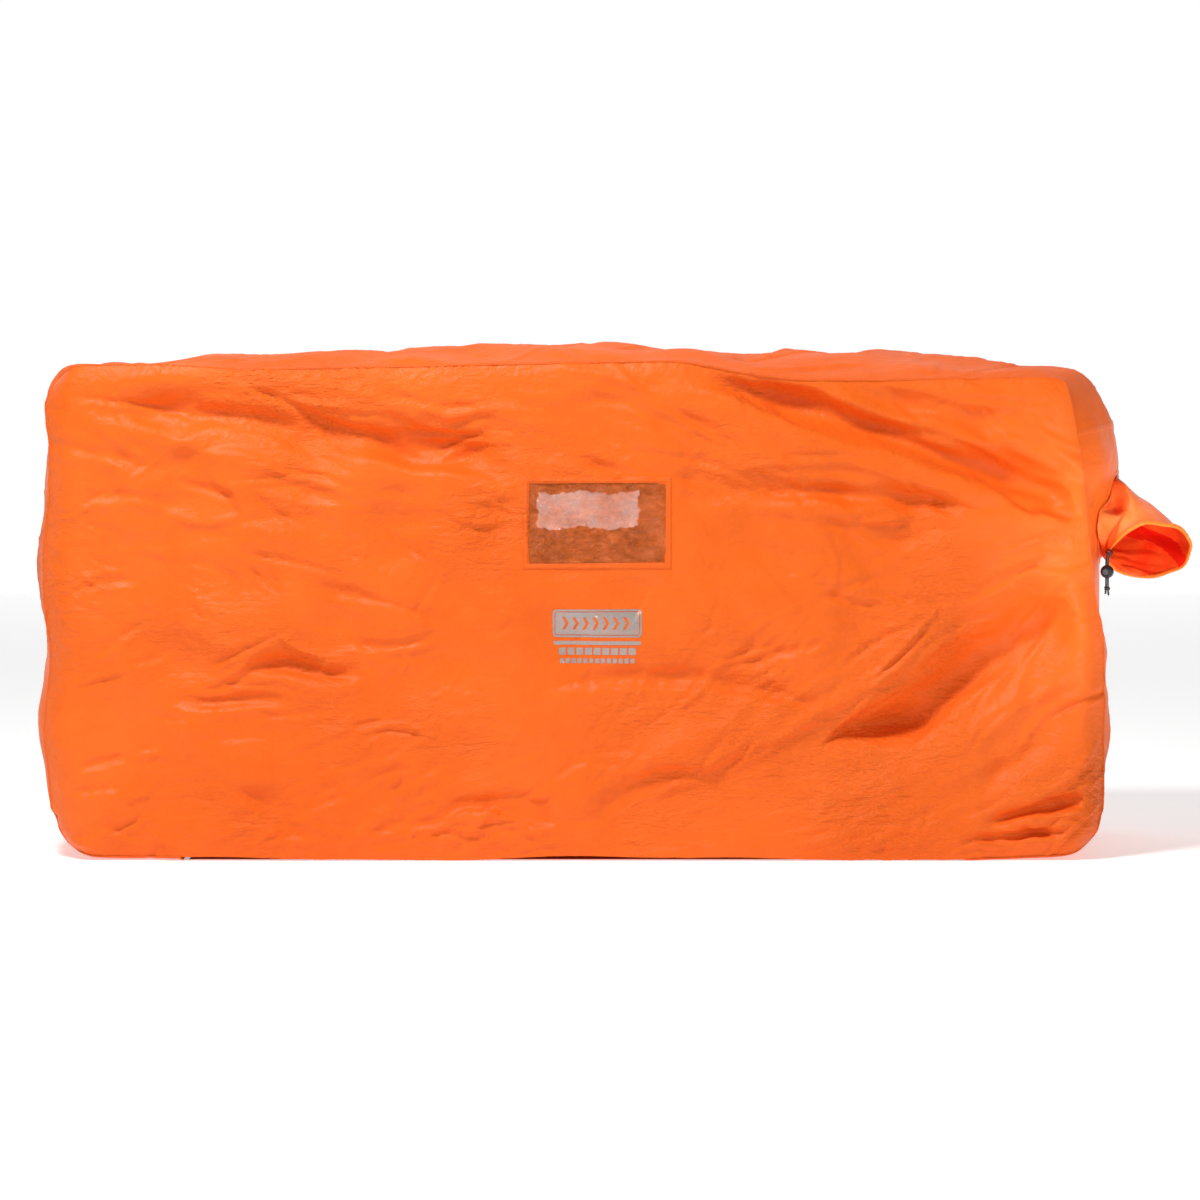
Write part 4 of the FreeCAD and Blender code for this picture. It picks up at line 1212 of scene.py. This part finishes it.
def make_vent(end_x):
    p = make_sleeve(end_x)
    n = normals(np.concatenate([p, p[:, :1]], axis=1))[:, :-1]
    centre = p.mean(axis=1, keepdims=True)
    n *= np.sign(((p - centre) * n).sum(-1, keepdims=True))
    outer = grid_object("sleeve_cloth", p, VENT_CLOTH, closed=True)
    inner = grid_object("sleeve_lining", (p - n * 0.0010)[:, ::-1], LINING, closed=True)
    inner.data.materials.append(LINING_PAINTED_SHADE)
    rows, columns = p.shape[:2]
    # Faces in a band along the far fold take the darker copy: painted shade where the doubled cloth lets less
    # light through.
    turned = np.linspace(0, 2 * np.pi, columns, endpoint=False)[::-1]
    for k in range(rows - 1):
        s = k / (rows - 1)
        doubled = bump_round(turned - 0.10 * math.sin(7 * s), fold_angle(s), 0.20) > 0.50
        for c in np.flatnonzero(doubled):
            inner.data.polygons[k * columns + int(c)].material_index = 1
    for piece in (outer, inner):
        smooth = piece.modifiers.new("smooth", "SUBSURF")
        smooth.levels = smooth.render_levels = 1
        apply_modifiers(piece)
        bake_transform(piece)
    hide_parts("vent_sleeve")

    angles = np.linspace(0, 2 * np.pi, 240, endpoint=False)
    middle = mouth_ring(angles, MOUTH_RADIUS)
    radial = middle - middle.mean(0)
    radial -= np.outer(radial @ MOUTH_WAY, MOUTH_WAY)
    radial /= np.linalg.norm(radial, axis=1, keepdims=True)
    pucker = 1 + 0.10 * np.sin(46 * angles) + 0.05 * np.sin(31 * angles + 2)
    from_tail = np.linalg.norm(middle - np.array(STRANDS["cord_strand_left"][0]), axis=1)
    slim = 0.62 + 0.38 * step_up(from_tail, 0.008, 0.030)
    rows = []
    for k in range(14):
        a = 2 * np.pi * k / 14
        rise, push = 0.0044 * math.sin(a), 0.0030 * math.cos(a)
        rows.append(middle + MOUTH_WAY * (rise * slim - 0.003)[:, None]
                    + radial * (push * pucker * slim)[:, None])
    rows.append(rows[0])
    cord_rows = [
        middle + MOUTH_WAY * (0.5 * CORD_DIAMETER * math.sin(a) - 0.003)
        + radial * (0.5 * CORD_DIAMETER * math.cos(a))
        for a in np.linspace(0, 2 * np.pi, 11)
    ]
    drawcord = grid_object("mouth_drawcord", np.stack(cord_rows), CORD, closed=True)
    dress(drawcord, "vent", "cord", "vent_drawcord")
    hem = grid_object("mouth_hem", np.stack(rows), HEM_CLOTH, closed=True)
    dress(hem, "vent", "hem_cloth", "vent_hem")
    line = np.vstack([p[-5] + n[-5] * 0.0004, p[-5, :1] + n[-5, :1] * 0.0004])
    thread = stitches("mouth_stitches", line, np.vstack([n[-5], n[-5, :1]]), 0.0030, 0.0014, 0.0007, THREAD)
    dress(thread, "vent", "hem_cloth")
    return p


# ---- cord tail and lock ----------------------------------------------------------------------------------


def curve_object(name, points, radius, material, cyclic=False):
    data = bpy.data.curves.new(name, "CURVE")
    data.dimensions = "3D"
    spline = data.splines.new("NURBS")
    spline.points.add(len(points) - 1)
    for point, place in zip(spline.points, points):
        point.co = (*place, 1)
    spline.use_cyclic_u = cyclic
    spline.order_u = 3
    spline.use_endpoint_u = not cyclic
    data.bevel_depth = radius
    data.bevel_resolution = 4
    data.resolution_u = 24
    data.use_fill_caps = True
    data.materials.append(material)
    obj = bpy.data.objects.new(name, data)
    bpy.context.scene.collection.objects.link(obj)
    return obj


def make_knot(low, high):
    """Overhand knot in the doubled cord, drawn tight, with two singed tips under it."""
    cx, cy = (low.x + high.x) / 2, (low.y + high.y) / 2
    top, tip = high.z, low.z
    body_height = 0.0085
    mid = top - body_height * 0.50
    points = []
    for k in range(28):
        a = 2 * math.pi * k / 28
        wide = 0.0031 + 0.0009 * math.cos(3 * a)
        points.append((cx + wide * math.cos(2 * a) * 1.05, cy + wide * math.sin(2 * a) * 0.95,
                       mid + 0.0023 * math.sin(3 * a)))
    knot = curve_object("tail_knot", points, CORD_DIAMETER * 0.49, CORD, cyclic=True)
    graph = bpy.context.evaluated_depsgraph_get()
    mesh = bpy.data.meshes.new_from_object(knot.evaluated_get(graph))
    name = knot.name
    bpy.data.objects.remove(knot)
    b = bmesh.new()
    b.from_mesh(mesh)
    for side in (-1, 1):
        ox, oy = 0.0018 * side, -0.0006 * side
        rings = 12
        previous = None
        for r in range(rings + 1):
            s = r / rings
            z = mid - 0.001 + (tip + (0.0025 if side < 0 else 0.0) - mid + 0.001) * s
            flare = 1 + 0.20 * step_up(s, 0.86, 0.97) - 0.55 * step_up(s, 0.97, 1.0)
            rad = CORD_DIAMETER * 0.5 * float(flare)
            loop = [
                b.verts.new((cx + ox * (1 + 0.5 * s) + rad * math.cos(2 * math.pi * k / 14),
                             cy + oy + rad * math.sin(2 * math.pi * k / 14), z))
                for k in range(14)
            ]
            if previous:
                for k in range(14):
                    b.faces.new((previous[k], previous[(k + 1) % 14], loop[(k + 1) % 14], loop[k]))
            previous = loop
        b.faces.new(previous[::-1])
    b.to_mesh(mesh)
    b.free()
    mesh.polygons.foreach_set("use_smooth", [True] * len(mesh.polygons))
    mesh.name = name
    obj = bpy.data.objects.new("tail_knot", mesh)
    bpy.context.scene.collection.objects.link(obj)
    return obj


def make_tail():
    knot = make_knot(*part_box("cord_end_knot"))
    dress(knot, "cord_tail", "cord", "cord_end_knot")
    on_cord = [knot, make_spring(), "cord_lock_barrel", "cord_lock_plunger"]
    for name, points in STRANDS.items():
        strand = curve_object(name.replace("cord_strand", "tail_strand"), points, CORD_DIAMETER / 2, CORD)
        dress(strand, "cord_tail", "cord", name)


LOCK_MIDDLE = np.array([0.8823778, -0.2463168, 0.514])
LOCK_AXIS = np.array([-0.3690, -0.9294, 0.0])
SPRING_FROM, SPRING_TO = -0.0088, -0.0035  # along the lock's axis


def make_spring():
    """Coil spring behind the lock's button, with its last turns closed."""
    level, up = vent_frame(LOCK_AXIS)
    turns, steps, wire, radius = 4.5, 220, 0.00025, 0.0036
    s = np.linspace(0, 1, steps)
    angle = 2 * np.pi * turns * s
    along = SPRING_FROM + (SPRING_TO - SPRING_FROM) * (s + 0.055 * np.sin(2 * np.pi * s) * -1)
    middle = (LOCK_MIDDLE + np.outer(along, unit(LOCK_AXIS)) + radius * np.outer(np.cos(angle), level)
              + radius * np.outer(np.sin(angle), up))
    radial = np.outer(np.cos(angle), level) + np.outer(np.sin(angle), up)
    rows = [middle + wire * (math.cos(a) * radial + math.sin(a) * unit(LOCK_AXIS))
            for a in np.linspace(0, 2 * np.pi, 9)]
    coil = grid_object("lock_coil", np.stack(rows), STEEL)
    dress(coil, "cord_lock", "spring_steel", "cord_lock_spring")
    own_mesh(coil)
    return coil


def finish_cad_nodes():
    for node, material in (
        ("cord_lock_barrel", LOCK_PLASTIC), ("cord_lock_plunger", BUTTON_PLASTIC),
        ("vent_cord_eyelet", EYELET_PLASTIC),
    ):
        slots = frame["nodes"][node].data.materials
        slots.clear()
        slots.append(material)


# ---- windows ---------------------------------------------------------------------------------------------
def make_window(name, p, hole, facing, seed, film_node, tape_node):
    """Creased clear film behind the hole, a turned-in cloth border with stitches, and the tape inside."""
    x0, x1, z0, z1 = hole
    surface = Surface(p, x0 - 0.06, x1 + 0.06, z0 - 0.06, z1 + 0.06, facing)
    o = FILM_OVERLAP
    tape_reach = -0.001 if facing < 0 else -0.008
    columns, rows = 121, 81
    gx, gz = np.meshgrid(np.linspace(x0 - o, x1 + o, columns), np.linspace(z0 - o, z1 + o, rows))
    place, n = surface.at(gx.ravel(), gz.ravel())
    place, n = place.reshape(rows, columns, 3), n.reshape(rows, columns, 3)
    spacing = ((x1 - x0 + 2 * o) / columns, (z1 - z0 + 2 * o) / rows)
    creases = np.abs(noise_field(gx.shape, spacing, 0.010, 0.05, seed, 1.4))
    waves = noise_field(gx.shape, spacing, 0.05, 0.16, seed + 1, 1.6)
    free = (step_up(gx, x0, x0 + 0.02) * (1 - step_up(gx, x1 - 0.02, x1))
            * step_up(gz, z0, z0 + 0.02) * (1 - step_up(gz, z1 - 0.02, z1)))
    lift = -0.0010 - 0.0035 * free + free * (0.0011 * np.minimum(creases, 2.0) + 0.0013 * waves)
    film = grid_object(name + "_film", place_in_shell(place + n * lift[..., None]), FILM)
    dress(film, "shell", "window_film", film_node)

    for part, outer, inner, lift_a, lift_b, material, slot, node in (
        ("_border", 0.0105, 0.0, -0.0004, 0.0009, CLOTH, "shell_cloth", None),
        ("_tape", o + 0.003, tape_reach, -0.0016, -0.0024, TAPE_CLOTH, "seam_tape", tape_node),
    ):
        loop_rows = []
        corners = ((outer + 0.0006, lift_a), (outer, lift_b), (inner + 0.0005, lift_b), (inner, lift_a))
        for reach, lift in corners:
            line = rectangle_line(x0 - reach, x1 + reach, z0 - reach, z1 + reach, 260)
            if part == "_tape" and facing > 0:
                line = line + loose_edge(line)
            pl, nn = surface.at(line[:, 0], line[:, 1])
            loop_rows.append(pl + nn * lift)
        piece = grid_object(name + part, place_in_shell(np.stack(loop_rows)), material, closed=True)
        dress(piece, "shell", slot, *([node] if node else []))
    for reach in (0.0022, 0.0088):
        line = rectangle_line(x0 - reach, x1 + reach, z0 - reach, z1 + reach, 520)
        line = np.vstack([line, line[:1]])
        pl, nn = surface.at(line[:, 0], line[:, 1])
        thread = stitches(f"{name}_stitches_{int(reach * 1e4)}", place_in_shell(pl + nn * 0.0009), nn,
                          0.0030, 0.0013, 0.0007, THREAD)
        dress(thread, "shell", "shell_cloth")


def loose_edge(line):
    """How a tape that was sewn on by eye strays from the straight, in x and z."""
    x, z = line[:, 0], line[:, 1]
    stray_x = 0.0022 * np.sin(z * 160) + 0.0010 * np.sin(z * 430)
    stray_z = 0.0030 * np.sin(x * 58 + 1.0) + 0.0013 * np.sin(x * 171) + 0.0010 * np.sin(x * 390)
    return np.stack([stray_x, stray_z], axis=1)


def rectangle_line(x0, x1, z0, z1, count):
    """Points spaced evenly round a rectangle, four of them at its corners."""
    corners = [(x0, z0), (x1, z0), (x1, z1), (x0, z1), (x0, z0)]
    share = np.array([x1 - x0, z1 - z0, x1 - x0, z1 - z0])
    counts = np.maximum((count * share / share.sum()).astype(int), 2)
    points = []
    for (a, b), k in zip(zip(corners, corners[1:]), counts):
        points += [(a[0] + (b[0] - a[0]) * i / k, a[1] + (b[1] - a[1]) * i / k) for i in range(k)]
    return np.array(points)


def place_in_shell(p):
    return p + np.array([MID, 0, 0])


# ---- print -----------------------------------------------------------------------------------------------
def make_print(p):
    """The badge's flat shapes, cut into small pieces and laid on the cloth."""
    low, high = PRINT_LOW, PRINT_HIGH
    surface = Surface(p, low.x - MID - 0.02, high.x - MID + 0.02, low.z - 0.02, high.z + 0.02)
    b = bmesh.new()
    b.from_mesh(frame["nodes"]["front_print"].data)
    b.normal_update()
    bmesh.ops.delete(b, geom=[f for f in b.faces if f.normal.y > -0.5], context="FACES")
    bmesh.ops.dissolve_limit(b, angle_limit=0.01, verts=b.verts, edges=b.edges)
    step = 0.0045
    for axis, start, stop in ((0, low.x, high.x), (2, low.z, high.z)):
        for k in range(1, int((stop - start) / step)):
            at, normal = Vector((0, 0, 0)), Vector((0, 0, 0))
            at[axis] = start + k * step
            normal[axis] = 1
            bmesh.ops.bisect_plane(b, geom=b.verts[:] + b.edges[:] + b.faces[:], plane_co=at, plane_no=normal)
    bmesh.ops.triangulate(b, faces=b.faces)
    xs = np.array([v.co.x - MID for v in b.verts])
    zs = np.array([v.co.z for v in b.verts])
    place, n = surface.at(xs, zs)
    for v, at in zip(b.verts, place_in_shell(place + n * 0.0006)):
        v.co = at
    mesh = bpy.data.meshes.new("badge_ink")
    b.to_mesh(mesh)
    b.free()
    mesh.polygons.foreach_set("use_smooth", [True] * len(mesh.polygons))
    mesh.materials.append(INK)
    obj = bpy.data.objects.new("badge_ink", mesh)
    bpy.context.scene.collection.objects.link(obj)
    dress(obj, "shell", "silver_ink", "front_print")


# ---- seams -----------------------------------------------------------------------------------------------
def make_seams(front_seam, back_seam, out):
    """A welt and two rows of stitches along each wall seam."""
    for name, seam, toward in (("front", front_seam, -1), ("back", back_seam, 1)):
        line = resample(seam, 900)
        o = resample(out, 900)
        o /= np.linalg.norm(o, axis=1, keepdims=True)
        face = np.array([0, toward, 0])
        tilt = (o * 0.8 + face * 0.6)
        tilt /= np.linalg.norm(tilt, axis=1, keepdims=True)
        tangent = np.gradient(line, axis=0)
        tangent /= np.linalg.norm(tangent, axis=1, keepdims=True)
        across = np.cross(tangent, tilt)
        run = np.linspace(0, 4, 900)
        height = 0.0011 * (1 + 0.35 * np.sin(run * 190) * np.sin(run * 23))[:, None]
        profile = [(-0.5, -0.3), (-0.46, 0.5), (-0.2, 1.0), (0.2, 1.0), (0.46, 0.5), (0.5, -0.3)]
        width = 0.0052
        rows = np.stack([line + across * (a * width) + tilt * (h * height) for a, h in profile])
        rows[..., 2] = np.maximum(rows[..., 2], 0.0002)
        welt = grid_object(name + "_seam_welt", place_in_shell(rows), CLOTH)
        dress(welt, "shell", "hem_cloth")
        for k in (-1, 1):
            row = line + across * (k * 0.0019) + tilt * 0.0011
            row[:, 2] = np.maximum(row[:, 2], 0.0010)
            thread = stitches(f"{name}_seam_stitches_{'a' if k < 0 else 'b'}", place_in_shell(row), tilt,
                              0.0032, 0.0016, 0.0008, THREAD)
            dress(thread, "shell", "hem_cloth")


def cut_band(band):
    """First and last row of the band for the roof, each end and each strip; neighbours share a row."""
    rows = band.shape[0]
    middle = band[:, 0]
    top = middle[:, 2] > ROOF_SEAM_HEIGHT
    first, last = np.argmax(top), rows - 1 - np.argmax(top[::-1])
    floor_left = np.argmax(middle[:, 0] < -0.852)
    floor_right = rows - 1 - np.argmax((middle[:, 0] > 0.852)[::-1])
    return {
        "left_floor_cloth": (0, floor_left), "left_end_cloth": (floor_left, first),
        "roof_cloth": (first, last),
        "right_end_cloth": (last, floor_right), "right_floor_cloth": (floor_right, rows - 1),
    }


def make_band_pieces(band, spans):
    nodes = {"left_floor_cloth": "left_floor_strip", "left_end_cloth": "left_end_panel",
             "roof_cloth": "roof_panel",
             "right_end_cloth": "right_end_panel", "right_floor_cloth": "right_floor_strip"}
    placed = place_in_shell(band)
    for name, (a, b) in spans.items():
        part = placed[a : b + 1]
        keep = None
        if name == "right_end_cloth":
            centre = (part[:-1, :-1] + part[1:, 1:]) / 2
            off = centre - VENT_ROOT
            off -= (off @ VENT_OUT)[..., None] * VENT_OUT
            keep = np.linalg.norm(off, axis=-1) > MOUTH_RADIUS - 0.004
        piece = grid_object(name, part, ROOF_SHADED_CLOTH if name == "roof_cloth" else CLOTH, keep)
        dress(piece, "shell", "shell_cloth", nodes[name])


def make_joins(band, spans):
    for name in ("left", "right"):
        row = spans["roof_cloth"][0 if name == "left" else 1]
        line = band[row]
        n = normals(band)[row]
        n *= np.sign((n * np.array([-1.0 if name == "left" else 1.0, 0, 0.4])).sum(-1, keepdims=True))
        line, n = resample(line, 300), resample(n, 300)
        tangent = np.gradient(line, axis=0)
        tangent /= np.linalg.norm(tangent, axis=1, keepdims=True)
        across = np.cross(tangent, n)
        height = np.full((300, 1), 0.0010)
        rows = [line + across * (a * 0.009) + n * (h * height)
                for a, h in ((-0.5, -0.3), (-0.46, 0.6), (-0.2, 1.0), (0.2, 1.0), (0.46, 0.6), (0.5, -0.3))]
        welt = grid_object(name + "_join_welt", place_in_shell(np.stack(rows)), CLOTH)
        dress(welt, "shell", "hem_cloth")
        lifted = place_in_shell(line + n * 0.0011)
        thread = stitches(name + "_join_stitches", lifted, n, 0.0032, 0.0016, 0.0008, THREAD)
        dress(thread, "shell", "hem_cloth")


def make_tapes(band):
    """Sealing tape inside the wall seams."""
    n = normals(band)
    centre = np.array([0, 0, 0.45])
    n *= np.sign(((band - centre) * np.array([1, 0, 1]) * n).sum(-1, keepdims=True))
    rows = slice(int(band.shape[0] * 0.08), int(band.shape[0] * 0.92))
    for name, columns in (("front_seam_tape", (0, 1, 2)), ("back_seam_tape", (-1, -2, -3))):
        strip = np.stack([band[rows, c] - n[rows, c] * 0.0012 for c in columns], axis=1)
        piece = grid_object(name.replace("seam_tape", "sealing_tape"), place_in_shell(strip), TAPE_CLOTH)
        dress(piece, "shell", "seam_tape", name)


# ---- seats and small inside pieces -----------------------------------------------------------------------
def sheet_over(node, material, seed, relief, slot, body, spacing=0.012):
    """A thin wrinkled sheet where a flat CAD sheet lies."""
    low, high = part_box(node)
    columns, rows = int((high.x - low.x) / spacing) + 2, max(int((high.y - low.y) / spacing) + 2, 4)
    gx, gy = np.meshgrid(np.linspace(low.x, high.x, columns), np.linspace(low.y, high.y, rows))
    step = ((high.x - low.x) / columns, (high.y - low.y) / rows)
    wrinkle = np.abs(noise_field(gx.shape, step, 0.04, 0.25, seed, 0.7))
    from_hinge = HALF_DEPTH - np.abs(gy)
    z = low.z + 0.0008 + relief * np.minimum(wrinkle, 2.2) / 2.2 * step_up(from_hinge, 0.0, 0.07)
    p = np.stack([gx, gy, z], axis=-1)
    piece = grid_object(node + "_cloth", p, material)
    thicken(piece, 0.0007, 1.0)
    dress(piece, body, slot, node)
    return piece


def make_inside():
    for side in ("front", "back"):
        seed = 61 if side == "front" else 62
        sheet_over(side + "_seat", SEAT_CLOTH, seed, 0.0030, "seat_cloth", side + "_seat")
        low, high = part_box(side + "_seat_hem")
        make_folded_edge(side + "_seat_hem", low, high, side + "_seat")
    for side in ("left", "right"):
        low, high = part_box(side + "_floor_hem")
        make_folded_edge(side + "_floor_hem", low, high, "shell")


def make_folded_edge(node, low, high, body):
    """A bound edge: a flat tube of cloth with a puckered top and two rows of stitches."""
    along = 0 if high.x - low.x > high.y - low.y else 1
    length = (high - low)[along]
    width = (high - low)[1 - along]
    count = int(length / 0.006)
    s = np.linspace(0, 1, count)
    pucker = 1 + 0.16 * np.sin(s * length * 260) + 0.08 * np.sin(s * length * 110)
    middle = (np.array(low) + np.array(high)) / 2
    rows = []
    for a, h in ((-0.5, 0.0), (-0.49, 0.5), (-0.40, 0.9), (0.0, 1.0), (0.40, 0.9), (0.49, 0.5), (0.5, 0.0)):
        row = np.zeros((count, 3))
        row[:, along] = low[along] + s * length
        row[:, 1 - along] = middle[1 - along] + a * width
        row[:, 2] = low.z - 0.001 + h * (high.z - low.z) * pucker * 0.8
        rows.append(row)
    piece = grid_object(node + "_cloth", np.stack(rows), HEM_CLOTH, flip=along == 1)
    dress(piece, body, "hem_cloth", node)
    for k in (-0.3, 0.3):
        line = np.zeros((count, 3))
        line[:, along] = low[along] + s * length
        line[:, 1 - along] = middle[1 - along] + k * width
        line[:, 2] = low.z - 0.001 + 0.95 * (high.z - low.z) * pucker * 0.8
        up = np.tile([0.0, 0.0, 1.0], (count, 1))
        row = "a" if k < 0 else "b"
        thread = stitches(f"{node}_stitches_{row}", line, up, 0.0034, 0.0018, 0.0008, THREAD)
        dress(thread, body, "hem_cloth")


def make_vent_seam(end_x):
    """The ring of doubled cloth and stitches where the sleeve is sewn to the end wall."""
    level, up = vent_frame(VENT_OUT)
    angles = np.linspace(0, 2 * np.pi, 200, endpoint=False)

    def loop(radius, lift):
        ring_points = (VENT_ROOT + np.outer(radius * np.cos(angles), level)
                       + np.outer(radius * np.sin(angles), up))
        ring_points[:, 0] = [end_x(y, z) for y, z in ring_points[:, 1:]]
        return ring_points + VENT_OUT * lift

    r = MOUTH_RADIUS
    profile = ((0.0125, -0.0004), (0.0120, 0.0008), (0.006, 0.0013), (0.001, 0.0012), (-0.002, 0.0016))
    rows = [loop(r + a, h) for a, h in profile]
    ring_piece = grid_object("vent_seam_cloth", np.stack(rows), HEM_CLOTH, closed=True)
    dress(ring_piece, "shell", "hem_cloth", "vent_seam_ring")
    for a in (0.003, 0.0095):
        line = loop(r + a, 0.0014)
        line = np.vstack([line, line[:1]])
        thread = stitches(f"vent_seam_stitches_{int(a * 1e4)}", line, np.tile(VENT_OUT, (len(line), 1)),
                          0.0030, 0.0015, 0.0008, THREAD)
        dress(thread, "shell", "hem_cloth")


def end_surface(band, spans):
    """x of the right end's cloth at any (y, z), in the CAD frame."""
    a, b = spans["right_end_cloth"]
    part = place_in_shell(band[a : b + 1]).reshape(-1, 3)

    def at(y, z):
        r2 = (part[:, 1] - y) ** 2 + (part[:, 2] - z) ** 2
        near = np.argpartition(r2, 4)[:4]
        w = 1 / (r2[near] + 1e-8)
        return float((part[near, 0] * w).sum() / w.sum())

    return at


# ---- the whole scene -------------------------------------------------------------------------------------
def make_wall(side, p, hole):
    """The wall's cloth, with the cells inside its window left out."""
    cx = (p[:-1, :-1, 0] + p[1:, 1:, 0]) / 2
    cz = (p[:-1, :-1, 2] + p[1:, 1:, 2]) / 2
    keep = ~((cx > hole[0]) & (cx < hole[1]) & (cz > hole[2]) & (cz < hole[3]))
    cloth = grid_object(side + "_cloth", place_in_shell(p), CLOTH, keep, flip=side == "front")
    dress(cloth, "shell", "shell_cloth", side + "_wall")


def main():
    make_stage()
    make_tail()
    finish_cad_nodes()
    front, hole = make_front()
    make_wall("front", front, hole)
    back, back_hole = make_back()
    make_wall("back", back, back_hole)
    band, front_seam, back_seam, out = make_band(front, back)
    spans = cut_band(band)
    make_band_pieces(band, spans)
    make_seams(front_seam, back_seam, out)
    make_joins(band, spans)
    make_tapes(band)
    make_window("front_window", front, hole, -1, 51, "front_window", "front_window_tape")
    make_window("back_window", back, back_hole, 1, 53, "back_window", "back_window_tape")
    make_print(front)
    make_inside()
    end_x = end_surface(band, spans)
    make_vent_seam(end_x)
    make_vent(end_x)


main()
